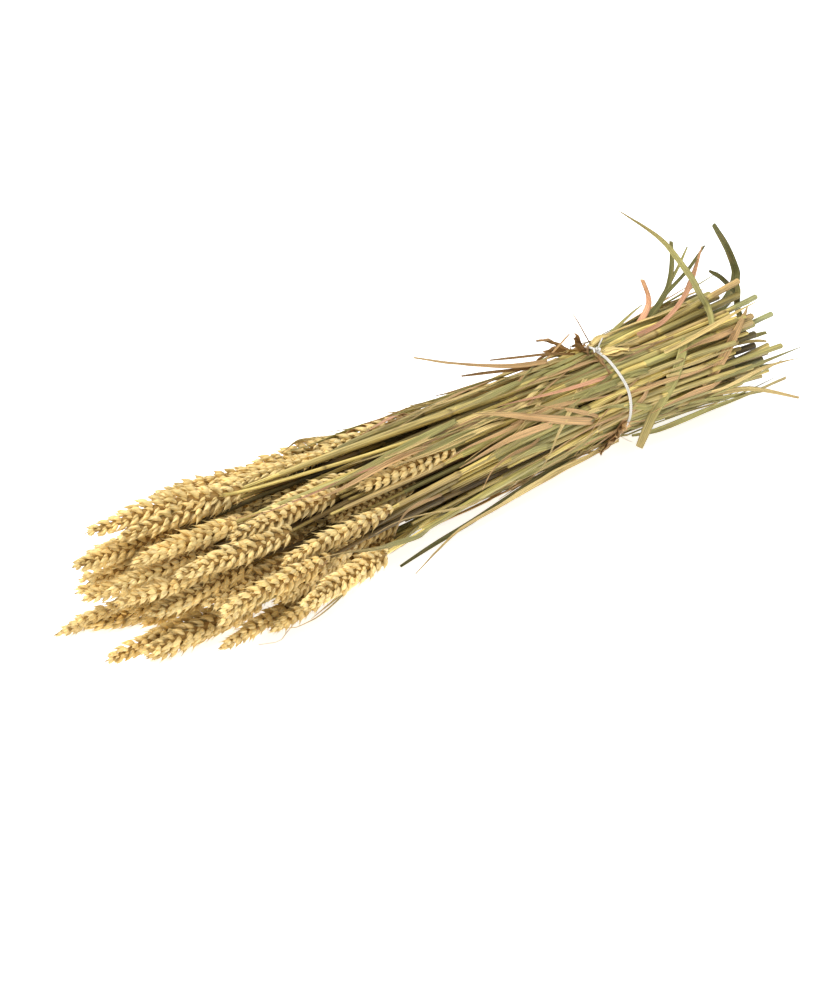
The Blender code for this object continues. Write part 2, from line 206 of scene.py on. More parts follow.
# ---- finishes ----
class Value:
    """A shader socket that takes part in sums."""

    def __init__(self, finish, socket):
        self.finish = finish
        self.socket = socket

    def __add__(self, other):
        return self.finish.sum("ADD", self, other)

    def __radd__(self, other):
        return self.finish.sum("ADD", other, self)

    def __sub__(self, other):
        return self.finish.sum("SUBTRACT", self, other)

    def __rsub__(self, other):
        return self.finish.sum("SUBTRACT", other, self)

    def __mul__(self, other):
        return self.finish.sum("MULTIPLY", self, other)

    def __rmul__(self, other):
        return self.finish.sum("MULTIPLY", other, self)


class Finish:
    """A material, and the nodes that lead up to its Principled shader."""

    def __init__(self, name, **constants):
        self.material = bpy.data.materials.new(name)
        self.material.use_nodes = True
        self.tree = self.material.node_tree
        self.shader = self.tree.nodes["Principled BSDF"]
        for socket, value in constants.items():
            self.shader.inputs[socket.replace("_", " ")].default_value = value

    def node(self, kind, settings=None, inputs=None, output=0):
        """Adds a node: its settings first, then the values or links of its sockets."""
        node = self.tree.nodes.new(kind)
        for name, value in (settings or {}).items():
            setattr(node, name, value)
        for name, value in (inputs or {}).items():
            self.join(node.inputs[name], value)
        return Value(self, node.outputs[output])

    def join(self, socket, value):
        if isinstance(value, Value):
            self.tree.links.new(value.socket, socket)
        else:
            socket.default_value = value

    def sum(self, operation, a, b):
        return self.node("ShaderNodeMath", {"operation": operation}, {0: a, 1: b})

    def attribute(self, name, output="Vector"):
        return self.node("ShaderNodeAttribute", {"attribute_name": name}, None, output)

    def parts(self, vector):
        """The three numbers of a vector."""
        return [self.node("ShaderNodeSeparateXYZ", None, {0: vector}, k) for k in range(3)]

    def vector(self, x, y, z):
        return self.node("ShaderNodeCombineXYZ", None, {0: x, 1: y, 2: z})

    def noise(self, vector, scale, detail=3.0, rough=0.55):
        inputs = {"Vector": vector, "Scale": scale, "Detail": detail, "Roughness": rough}
        return self.node("ShaderNodeTexNoise", None, inputs)

    def fade(self, value, start, end, low=0.0, high=1.0):
        """A value mapped smoothly from start..end to low..high."""
        inputs = {"Value": value, "From Min": start, "From Max": end,
                  "To Min": low, "To Max": high}
        return self.node("ShaderNodeMapRange", {"interpolation_type": "SMOOTHSTEP"}, inputs)

    def blend(self, factor, a, b, kind="MIX"):
        a, b = (c if isinstance(c, Value) else (*c, 1) for c in (a, b))
        settings = {"data_type": "RGBA", "blend_type": kind}
        return self.node("ShaderNodeMix", settings, {0: factor, 6: a, 7: b}, 2)

    def use(self, socket, value):
        self.join(self.shader.inputs[socket], value)

    def streaks(self, grain, scales, seeds, detail):
        """Noise stretched along a piece, different on each piece."""
        across, along, own = grain
        return self.noise(self.vector(across * scales[0] + own * seeds[0], along * scales[1],
                                      own * seeds[1]), 1.0, detail)

    def bump(self, height, distance, strength=1.0):
        inputs = {"Height": height, "Distance": distance, "Strength": strength}
        self.use("Normal", self.node("ShaderNodeBump", None, inputs))


def grown_finish(name, nerves, spots, spot_colour, roughness):
    """Dry plant skin: its own tint with streaks along it, darker spots and fine nerves.

    The grain attribute holds the place across the piece, the place along it in metres,
    and a number of the piece's own.
    """
    finish = Finish(name, Roughness=roughness, Metallic=0.0)
    grain = finish.parts(finish.attribute("grain"))
    across = grain[0]
    streaks = finish.streaks(grain, (9.0, 22.0), (31.0, 17.0), 4.0)
    fine = finish.streaks(grain, (34.0, 60.0), (13.0, 5.0), 2.0)
    patches = finish.streaks(grain, (1.5, 38.0), (7.0, 11.0), 3.0)
    level = (finish.fade(streaks, 0.27, 0.73, 0.50, 1.38)
             * finish.fade(fine, 0.25, 0.75, 0.82, 1.16))
    tone = finish.vector(level, level, level)
    colour = finish.blend(1.0, finish.attribute("tint", "Color"), tone, "MULTIPLY")
    spot = finish.fade(patches, 0.56, 0.72, 0.0, spots)
    finish.use("Base Color", finish.blend(spot, colour, spot_colour))
    finish.use("Roughness", finish.fade(streaks, 0.2, 0.8, roughness + 0.12, roughness - 0.08))
    ridges = finish.node("ShaderNodeMath", {"operation": "SINE"}, {0: across * nerves})
    finish.bump(ridges * 0.5 + fine * 0.8 + streaks, 0.00022, 0.8)
    return finish.material


def ear_finish(settings):
    """Ripe husks: painted shade at their feet, where they sit between their neighbours, with
    nerves running to the beak.
    """
    finish = Finish("ripe_husk", Roughness=0.55, Metallic=0.0)
    across, along, own = finish.parts(finish.attribute("grain"))
    place = finish.node("ShaderNodeTexCoord", None, None, "Object")
    mottle = finish.noise(place, 240.0, 3.0)
    broad = finish.noise(place, 45.0, 2.0)
    # Painted shade: each floret's foot, tucked between its neighbours, is mixed towards the
    # shade colour.
    feet = finish.fade(along, 0.0, 0.30, 0.55, 0.0)
    colour = finish.blend(feet, finish.attribute("tint", "Color"), settings.shade)
    lines = finish.noise(finish.vector(across * 7.0 + own * 19.0, along * 1.5, own), 1.0, 2.0)
    level = finish.fade(mottle, 0.3, 0.7, 0.90, 1.10) * finish.fade(lines, 0.3, 0.7, 0.84, 1.12)
    level = level * finish.fade(broad, 0.3, 0.7, 0.88, 1.10)
    tone = finish.vector(level, level, level)
    finish.use("Base Color", finish.blend(1.0, colour, tone, "MULTIPLY"))
    ridges = finish.node("ShaderNodeMath", {"operation": "SINE"}, {0: across * 16.0})
    finish.bump(ridges * 0.5 + lines + mottle * 0.5, 0.00025, 0.8)
    return finish.material


def cord_finish(settings):
    finish = Finish("cotton", Roughness=0.8, Metallic=0.0, Sheen_Weight=0.2)
    place = finish.node("ShaderNodeTexCoord", None, None, "Object")
    fibre = finish.noise(place, 2600.0, 3.0)
    grime = finish.noise(place, 120.0, 2.0)
    dull = [c * 0.72 for c in settings.white]
    colour = finish.blend(finish.fade(grime, 0.4, 0.75, 0.0, 0.6), settings.white, dull)
    finish.use("Base Color", colour)
    finish.bump(fibre, 0.0001, 0.7)
    return finish.material


# ---- runs and meshes ----
def unique_points(node):
    """The distinct vertices of a solid."""
    points = np.array([vert.co for vert in NODES[node].data.vertices], float)
    return np.unique(np.round(points, 6), axis=0)


class Stalk:
    """One straw's run: y, z and radius on a regular grid of x, from its tip to its cut."""

    def __init__(self, name, x, y, z, radius, ear, own):
        self.name = name
        self.x = x
        self.y = y
        self.z = z
        self.radius = radius
        self.ear = ear
        self.own = own

    def point(self, x):
        return np.array((x, np.interp(x, self.x, self.y), np.interp(x, self.x, self.z)))


def smoothed(values, passes):
    values = values.copy()
    for _ in range(passes):
        values[1:-1] += 0.5 * ((values[:-2] + values[2:]) / 2 - values[1:-1])
    return values


def solid_stalk(node, own):
    """The stalk that a solid describes by its rings."""
    points = unique_points(node)
    points = points[points[:, 0].argsort()]
    breaks = np.nonzero(np.diff(points[:, 0]) > RING_GAP)[0] + 1
    rings = np.split(points, breaks)
    middles = np.array([ring.mean(0) for ring in rings])
    sizes = np.array([
        np.linalg.norm(ring - middle, axis=1).mean() for ring, middle in zip(rings, middles)
    ])
    x = np.arange(middles[0, 0], middles[-1, 0], GRID)
    x = np.append(x, middles[-1, 0])
    y, z, radius = (np.interp(x, middles[:, 0], row) for row in (*middles[:, 1:].T, sizes))
    ear = middles[EAR_RINGS - 1, 0] - middles[0, 0]
    return Stalk(node, x, smoothed(y, SMOOTHING), smoothed(z, SMOOTHING), radius, ear, own)


def tie_middle():
    """The middle of the cord's wrap."""
    points = unique_points("tie_cord")
    low, high = points.min(0), points.max(0)
    lower = points[points[:, 2] < (low[2] + high[2]) / 2]
    x = (lower[:, 0].min() + lower[:, 0].max()) / 2
    return np.array((x, (low[1] + high[1]) / 2, low[2] + TIE_RISE))


TIE = tie_middle()


def unit(rows):
    rows = np.asarray(rows, float)
    return rows / np.maximum(np.linalg.norm(rows, axis=-1, keepdims=True), 1e-12)


def headings(points):
    return unit(np.gradient(points, axis=0))


def distances_along(points):
    steps = np.linalg.norm(np.diff(points, axis=0), axis=1)
    return np.concatenate(([0], np.cumsum(steps)))


def resampled(points, count):
    """The same run with its points evenly spaced."""
    far = distances_along(points)
    want = np.linspace(0, far[-1], count)
    return np.stack([np.interp(want, far, points[:, k]) for k in range(3)], 1), want


def rounded_run(points, count):
    """A smooth run of evenly spaced points through a few given ones."""
    fine, _ = resampled(np.asarray(points, float), count)
    passes = int(0.16 * (count / len(points)) ** 2)
    fine = np.stack([smoothed(fine[:, k], passes) for k in range(3)], 1)
    return resampled(fine, count)


def finished(bm, name):
    """A new mesh from a bmesh, which is then freed."""
    mesh = bpy.data.meshes.new(name)
    bm.to_mesh(mesh)
    bm.free()
    return mesh


@functools.cache
def closed_tube(around, rings):
    """A closed round form: its mesh, and where round and along it each vertex lies."""
    bm = bmesh.new()
    bmesh.ops.create_uvsphere(bm, u_segments=around, v_segments=rings + 1, radius=1)
    mesh = finished(bm, "closed_tube")
    co = coordinates(mesh)
    ring = np.rint((1 - np.arccos(np.clip(co[:, 2], -1, 1)) / math.pi) * (rings + 1)) - 1
    return mesh, np.arctan2(co[:, 1], co[:, 0]), ring.astype(int)


@functools.cache
def flat_strip(across, along):
    """A flat grid: its mesh, and where across and along it each vertex lies."""
    bm = bmesh.new()
    bmesh.ops.create_grid(bm, x_segments=across, y_segments=along, size=1)
    mesh = finished(bm, "flat_strip")
    co = coordinates(mesh)
    return mesh, co[:, 0], np.rint((co[:, 1] + 1) / 2 * along).astype(int)


def coordinates(mesh):
    flat = np.empty(len(mesh.vertices) * 3, np.float32)
    mesh.vertices.foreach_get("co", flat)
    return flat.reshape(-1, 3)


def kept_inside(points):
    """The points, with those that leave the solids' box eased back into it."""
    for way, corner in ((1, CAD_BOX[0]), (-1, CAD_BOX[1])):
        depth = way * (points - corner)
        eased = EASE * np.exp(np.minimum(depth - EASE, 0) / EASE)
        points = np.where(depth < EASE, corner + way * eased, points)
    return points


def shaped(template, points, tint, grain):
    """A copy of a template mesh with its vertices moved, tinted and numbered."""
    points = kept_inside(points)
    mesh = template.copy()
    mesh.vertices.foreach_set("co", np.asarray(points, np.float32).ravel())
    colours = np.ones((len(points), 4), np.float32)
    colours[:, :3] = tint
    layer = mesh.attributes.new("tint", "FLOAT_COLOR", "POINT")
    layer.data.foreach_set("color", colours.ravel())
    layer = mesh.attributes.new("grain", "FLOAT_VECTOR", "POINT")
    layer.data.foreach_set("vector", np.asarray(grain, np.float32).ravel())
    return mesh


def dressed(template, place, row, across, far, tint, own):
    """A template mesh put in place, with its colours and grain given row by row."""
    grain = np.stack((across, far[row], np.full(len(row), own)), 1)
    tint = np.asarray(tint)
    return shaped(template, place, tint[row] if tint.ndim == 2 else tint, grain)


def joined(meshes):
    bm = bmesh.new()
    for mesh in meshes:
        bm.from_mesh(mesh)
        bpy.data.meshes.remove(mesh)
    return finished(bm, "joined")


def linked(name, data):
    """A new object in the scene."""
    thing = bpy.data.objects.new(name, data)
    bpy.context.scene.collection.objects.link(thing)
    return thing


def add_piece(name, meshes, material, nodes=(), thickness=0.0):
    """Makes a piece from its meshes, and hides the solids that it stands for."""
    mesh = joined(meshes)
    mesh.shade_smooth()
    mesh.materials.append(material)
    mesh.name = name
    piece = linked(name, mesh)
    if thickness:
        wall = piece.modifiers.new("thickness", "SOLIDIFY")
        wall.thickness = thickness
        wall.offset = 0
    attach(piece, "root")
    if nodes:
        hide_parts(*nodes)
    return piece


def tube(points, radii, around, tint, own, grain_start=0.0, flat=1.0, lean=0.0,
         forward=None):
    """A closed tube along a run. Where the run turns back inside the tube, forward gives
    the tube's headings."""
    template, angle, ring = closed_tube(around, len(points) - 2)
    ring = ring + 1
    forward = headings(points) if forward is None else forward
    side = unit(np.cross(forward, (0.05, 0.1, 1.0)))
    up = np.cross(forward, side)
    turned = angle + lean
    reach = radii[ring][:, None]
    place = points[ring] + reach * (
        np.cos(turned)[:, None] * side[ring] + flat * np.sin(turned)[:, None] * up[ring])
    far = distances_along(points) + grain_start
    return dressed(template, place, ring, np.abs(angle) / math.pi, far, tint, own)


def ribbon(points, faces, widths, tint, own, fold=0.25, turn=None, across=4, crumple=0.0,
           rng=None):
    """A blade along a run: its face towards the given way, turned and folded."""
    count = len(points) - 1
    template, x, row = flat_strip(across, count)
    forward = headings(points)
    side = unit(np.cross(forward, faces))
    out = np.cross(side, forward)
    if turn is not None:
        c, s = np.cos(turn)[:, None], np.sin(turn)[:, None]
        side, out = side * c + out * s, out * c - side * s
    half = widths[row] / 2
    fold = np.broadcast_to(fold, len(points))[row]
    place = points[row] + side[row] * (half * x * np.cos(fold * 0.8))[:, None]
    place += out[row] * (half * np.abs(x) ** 1.4 * np.sin(fold))[:, None]
    if crumple:
        waves = rng.normal(size=(len(points), across + 1))
        waves = np.stack([smoothed(wave, 3) for wave in waves.T], 1) * 1.6
        column = np.rint((x + 1) / 2 * across).astype(int)
        place += out[row] * (waves[row, column] * crumple)[:, None]
    return dressed(template, place, row, x, distances_along(points), tint, own)


def dried(base, tip, share):
    """Colours along a blade that goes over from one to another."""
    return base + (tip - base) * share[:, None]


def blade_widths(count, width, foot=0.75, belly=0.35):
    """A dry blade's width along it: narrower at its foot, pointed at its tip."""
    t = np.linspace(0, 1, count)
    grown = np.interp(t, (0, belly, 1), (foot, 1, 0.05))
    return width * np.minimum(grown, 0.05 + 1.0 * ((1 - t) * 3) ** 0.8)


# ---- the bunch ----
EDGE_EARS = (  # tips of the ears that stand out at the edge of the fan, from the tie
    (-0.440, 0.002, 0.038), (-0.452, 0.000, 0.019), (-0.452, -0.007, -0.001),
    (-0.444, 0.012, -0.026), (-0.398, -0.073, -0.027), (-0.362, -0.078, -0.026),
)

LONG_STRAWS = (  # place round the tie, and where the straw is cut
    ((-0.018, 0.012), 0.3130), ((-0.024, -0.002), 0.3060), ((-0.020, -0.016), 0.3115),
    ((-0.008, 0.024), 0.3090),
)


class Bunch:
    """All the stalks: those with solids, and the ones that fill the gaps between them."""

    def __init__(self):
        self.rng = np.random.default_rng(5)
        self.solid = [solid_stalk(name, k * 0.377 % 1) for k, name in enumerate(STALK_NODES)]
        self.filling = []
        self.stations = np.arange(CAD_BOX[0][0], CAD_BOX[1][0], STATION_STEP)
        self.wrap = wrap_outline()

    def within_tie(self, y, z, margin):
        """Pulls a place at the tie back inside its wrap."""
        offset = np.stack((y - TIE[1], z - TIE[2]), -1)
        far = np.linalg.norm(offset, axis=-1)
        most = np.interp(np.arctan2(offset[..., 1], offset[..., 0]), *self.wrap,
                         period=2 * math.pi) - margin
        share = np.minimum(1, most / np.maximum(far, 1e-6))
        return TIE[1] + offset[..., 0] * share, TIE[2] + offset[..., 1] * share

    def places_between(self, cut, straws):
        """Places at the tie for the filling straws, each in the widest gap left."""
        taken = cut.copy()
        turn = self.rng.uniform(-math.pi, math.pi, TIE_CHOICES)
        most = np.interp(turn, *self.wrap, period=2 * math.pi) - 0.0040
        reach = most * self.rng.uniform(0.25, 1, TIE_CHOICES) ** 0.5
        choices = TIE[1:] + np.stack((np.cos(turn), np.sin(turn)), 1) * reach[:, None]
        outer = reach / most
        for _ in range(straws):
            room = np.linalg.norm(choices[:, None] - taken[None], axis=2).min(1)
            best = np.argmax(room * (0.75 + 0.25 * outer))
            taken = np.vstack((taken, choices[best]))
        return taken[len(cut):]

    def edge_ears(self, bearers, chosen):
        """The straws whose ears stand at the edge of the fan, and where their tips are."""
        edge = {}
        for tip in TIE + np.array(EDGE_EARS):
            free = [w for w in bearers if w not in edge]
            gap = [np.linalg.norm((chosen[w] - TIE[1:]) / 0.033
                                  - (tip[1:] - TIE[1:]) / (0.080, 0.040)) for w in free]
            edge[free[int(np.argmin(gap))]] = tip
        return edge

    def first_runs(self, chosen, cut, rows):
        """Runs that follow their neighbours' and spread a little towards the cut ends."""
        grid = self.stations
        runs = np.empty((len(chosen), len(grid), 2))
        for k, place in enumerate(chosen):
            gap = np.linalg.norm(cut - place, axis=1)
            near = np.argsort(gap)[:5]
            pull = 1 / (gap[near] + 0.002) ** 2
            moved = rows[near] - cut[near][:, None]
            runs[k] = place + (moved * pull[:, None, None]).sum(0) / pull.sum()
            beyond = np.clip((grid - TIE[0] - 0.02) / 0.12, 0, 1.3) ** 1.6
            way = unit(place - TIE[1:] + self.rng.normal(0, 0.012, 2))
            runs[k] += np.outer(beyond, way * min(abs(self.rng.normal(0, 0.007)), 0.012))
        return runs

    def part(self, rows, solid_width, runs, width, aims, edge):
        """Pushes the filling runs apart, and keeps them in the tie and the solids' box."""
        grid = self.stations
        straws = len(runs)
        widths = np.concatenate((solid_width, width))
        thick = np.maximum(width, 0.002)
        low, high = CAD_BOX
        for _ in range(PARTING_STEPS):
            everyone = np.concatenate((rows, runs))
            for i in range(len(grid)):
                offset = runs[:, None, i] - everyone[None, :, i]
                gap = np.linalg.norm(offset, axis=2)
                want = width[:, None, i] + widths[None, :, i] + STRAW_GAP
                want[(width[:, None, i] < 0) | (widths[None, :, i] < 0)] = 0
                gap[np.arange(straws), len(rows) + np.arange(straws)] = 1
                push = np.maximum(0, want - gap) / np.maximum(gap, 1e-5)
                push[:, len(rows):] *= 0.5
                runs[:, i] += 0.45 * (offset * push[..., None]).sum(1)
            runs[:, 1:-1] += 0.30 * ((runs[:, :-2] + runs[:, 2:]) / 2 - runs[:, 1:-1])
            for who in edge:
                runs[who] += 0.25 * (aims[who] - runs[who])
            for i in np.nonzero(np.abs(grid - TIE[0]) < 0.014)[0]:
                y, z = self.within_tie(runs[:, i, 0], runs[:, i, 1], thick[:, i] + 0.0012)
                runs[:, i, 0], runs[:, i, 1] = y, z
            runs[:, :, 1] = np.clip(runs[:, :, 1], thick + 0.0006, high[2] - 0.02)
            runs[:, :, 0] = np.clip(runs[:, :, 0], low[1] + thick, high[1] - thick)

    def fill(self, straws, ears):
        """Adds straws in the widest gaps, each beside its neighbours all along."""
        rng, grid = self.rng, self.stations
        cut = np.array([s.point(TIE[0])[1:] for s in self.solid])
        chosen = self.places_between(cut, straws)
        rows = np.array([[s.point(x)[1:] for x in grid] for s in self.solid])
        order = rng.permutation(straws)
        starts, sizes = np.empty(straws), rng.uniform(*STRAW_RADII, straws)
        for k, who in enumerate(order):
            starts[who] = rng.uniform(*(EAR_STARTS if k < ears else STRAW_STARTS))
        edge = self.edge_ears(order[:ears], chosen)
        for who, tip in edge.items():
            starts[who] = max(tip[0], CAD_BOX[0][0] - 0.004)
        bears = np.zeros(straws, bool)
        bears[order[:ears]] = True
        ends = rng.uniform(*STRAW_CUTS, straws)
        for place, end in LONG_STRAWS:
            apart = np.linalg.norm(chosen - TIE[1:] - place, axis=1)
            ends[np.argmin(apart)] = end
        runs = self.first_runs(chosen, cut, rows)
        aims = runs.copy()
        for who, tip in edge.items():
            share = np.clip((tip[0] + 0.26 - grid) / 0.26, 0, 1) ** 1.3
            at_tip = runs[who, np.searchsorted(grid, tip[0] + 0.004)]
            aims[who] = runs[who] + np.outer(share, tip[1:] - at_tip)
            runs[who] = aims[who]
        width = np.array([self.reach_along(bears[k], starts[k], ends[k], sizes[k])
                          for k in range(straws)])
        solid_width = np.array([np.interp(grid, s.x, s.radius, -1, -1) for s in self.solid])
        self.part(rows, solid_width, runs, width, aims, edge)
        for k in range(straws):
            x = np.append(np.arange(starts[k], ends[k], GRID), ends[k])
            y, z = (smoothed(np.interp(x, grid, runs[k, :, j]), 8) for j in (0, 1))
            radius = self.profile(bears[k], starts[k], sizes[k], x)
            ear = self.ear_length(k) if bears[k] else 0.0
            self.filling.append(Stalk(f"filling_{k + 1:02}", x, y, z, radius, ear,
                                      0.13 + k * 0.617 % 1))

    def ear_length(self, number):
        """Ears of the filling straws, 78 to 100 mm long."""
        return 0.078 + 0.022 * (number * 0.618 % 1)

    def profile(self, bears, start, size, x):
        """Radius of a filling straw by x, thin at its upper end."""
        if not bears:
            return np.interp(x, (start, start + 0.1), (0.0010, size))
        neck = start + 0.09
        return np.interp(x, (start, start + 0.02, start + 0.05, neck - 0.01, neck, neck + 0.14),
                         (0.003, 0.0060, 0.0064, 0.0040, 0.0013, size))

    def reach_along(self, bears, start, end, size):
        """Radius of a filling straw at each station, or -1 where there is none."""
        inside = (self.stations >= start - 0.004) & (self.stations <= end)
        return np.where(inside, self.profile(bears, start, size, self.stations), -1)

    def skin(self):
        """How far the bunch reaches from its middle, by station and by angle."""
        stalks = self.solid + self.filling
        angles = np.linspace(-math.pi, math.pi, SKIN_WAYS + 1)[:-1]
        ways = np.stack((np.cos(angles), np.sin(angles)), 1)
        self.skin_angles = angles
        self.middles = np.empty((len(self.stations), 2))
        self.reaches = np.empty((len(self.stations), len(angles)))
        for i, x in enumerate(self.stations):
            here = [s for s in stalks if s.x[0] <= x <= s.x[-1]]
            if len(here) < 3:
                here = sorted(stalks, key=lambda s: min(abs(s.x[0] - x), abs(s.x[-1] - x)))[:6]
            spots = np.array([s.point(x)[1:] for s in here])
            sizes = np.array([np.interp(x, s.x, s.radius) for s in here])
            middle = (spots.min(0) + spots.max(0)) / 2
            offset = spots - middle
            ahead = offset @ ways.T
            aside = np.abs(offset[:, :1] * ways[:, 1] - offset[:, 1:] * ways[:, 0])
            reach = np.where(aside < sizes[:, None] + 0.0035, ahead + sizes[:, None], 0.004)
            self.middles[i] = middle
            self.reaches[i] = reach.max(0)
        for _ in range(3):
            beside = (np.roll(self.reaches, 1, 1) + np.roll(self.reaches, -1, 1)) / 2
            self.reaches = np.maximum(self.reaches, beside)
            along = self.reaches.copy()
            along[1:-1] = (self.reaches[:-2] + self.reaches[2:]) / 2
            self.reaches = np.maximum(self.reaches, along)

    def painted_depth_shade(self, points):
        """How much of its colours a straw keeps: less deep inside the bunch. This is painted
        shade, darker with depth below the bunch's skin."""
        i = np.clip(np.rint((points[:, 0] - self.stations[0]) / STATION_STEP).astype(int), 0,
                    len(self.stations) - 1)
        offset = points[:, 1:] - self.middles[i]
        angle = np.arctan2(offset[:, 1], offset[:, 0])
        step = 2 * math.pi / len(self.skin_angles)
        j = np.rint((angle + math.pi) / step).astype(int) % len(self.skin_angles)
        depth = self.reaches[i, j] - np.linalg.norm(offset, axis=1)
        share = smoothed(np.interp(depth, (0.004, 0.015), (1.0, 0.0)), 6)[:, None]
        return share + (1 - share) * np.array(DEEP_SHADE)

    def on_skin(self, x, angle, lift):
        """Places on the bunch's surface, lifted off it, and the way out at each."""
        i = (np.clip(x, self.stations[0], BRIM) - self.stations[0]) / STATION_STEP
        low, share = i.astype(int), (i - i.astype(int))
        step = 2 * math.pi / len(self.skin_angles)
        j = ((angle + math.pi) / step) % len(self.skin_angles)
        left, part = j.astype(int), j - j.astype(int)
        right = (left + 1) % len(self.skin_angles)

        def at(row):
            return self.reaches[row, left] * (1 - part) + self.reaches[row, right] * part

        reach = at(low) * (1 - share) + at(low + 1) * share
        middle = (self.middles[low] * (1 - share)[:, None]
                  + self.middles[low + 1] * share[:, None])
        way = np.stack((np.cos(angle), np.sin(angle)), 1)
        place = middle + way * (smoothed(reach, 4) + lift)[:, None]
        y, z = self.within_tie(place[:, 0], place[:, 1], 0.0016)
        under = np.clip(1.8 - np.abs(x - TIE[0]) / 0.007, 0, 1)[:, None]
        place = place + (np.stack((y, z), 1) - place) * under
        place[:, 1] = np.maximum(place[:, 1], 0.0008)
        return np.column_stack((x, place)), np.column_stack((np.zeros(len(x)), way))


def wrap_outline():
    """The middle line of the cord's wrap, as its distance from the tie by angle."""
    points = unique_points("tie_cord")
    points = points[np.abs(points[:, 0] - TIE[0]) < 0.0030]
    offset = points[:, 1:] - TIE[1:]
    angle = np.arctan2(offset[:, 1], offset[:, 0])
    far = np.linalg.norm(offset, axis=1)
    places, reaches = [], []
    for middle in np.linspace(-math.pi, math.pi, 49)[:-1]:
        apart = np.abs((angle - middle + math.pi) % (2 * math.pi) - math.pi)
        near = far[apart < 0.09]
        if len(near) > 3 and near.max() - near.min() < 0.0045:
            places.append(middle)
            reaches.append(np.median(near))
    return np.array(places), np.array(reaches)


def ear_run(stalk, count):
    """The middle line of an ear from its foot to its tip."""
    x = np.linspace(stalk.x[0] + stalk.ear, stalk.x[0], count)
    return np.array([stalk.point(v) for v in x])


FLORET_RINGS = (  # share of the length, share of the width
    (0.03, 0.40), (0.15, 0.80), (0.35, 1.00), (0.57, 0.86), (0.78, 0.47), (0.96, 0.14),
)
BEAK = 1.36  # where a floret's point ends, in shares of its length
FLORETS = (  # fan in degrees, start, outwards, size, and 1 for an empty outer husk
    (-33, 0.0000, -0.0017, 0.74, 1),
    (33, 0.0003, -0.0017, 0.76, 1),
    (-26, 0.0010, 0.0000, 0.96, 0),
    (25, 0.0014, 0.0001, 0.94, 0),
    (-11, 0.0026, 0.0010, 0.90, 0),
    (12, 0.0032, 0.0011, 0.82, 0),
    (1, 0.0048, 0.0003, 0.68, 0),
)


@functools.cache
def florets_mesh(count):
    """Separate closed forms in one mesh, all alike until an ear places them."""
    template = closed_tube(6, len(FLORET_RINGS))[0]
    bm = bmesh.new()
    for _ in range(count):
        bm.from_mesh(template)
    return finished(bm, "florets")


def floret_form():
    """A floret's own shape: across, outwards and along, in shares of its sizes."""
    _, angle, ring = closed_tube(6, len(FLORET_RINGS))
    rings = np.array(((0.0, 0.0), *FLORET_RINGS, (BEAK, 0.0)))[ring + 1]
    out = np.sin(angle) * rings[:, 1]
    out = np.where(out > 0, out * 1.15, out * 0.65)
    form = np.stack((np.cos(angle) * rings[:, 1] / 2, out / 2, rings[:, 0]), 1)
    return form, np.abs(angle) / math.pi, rings[:, 0]


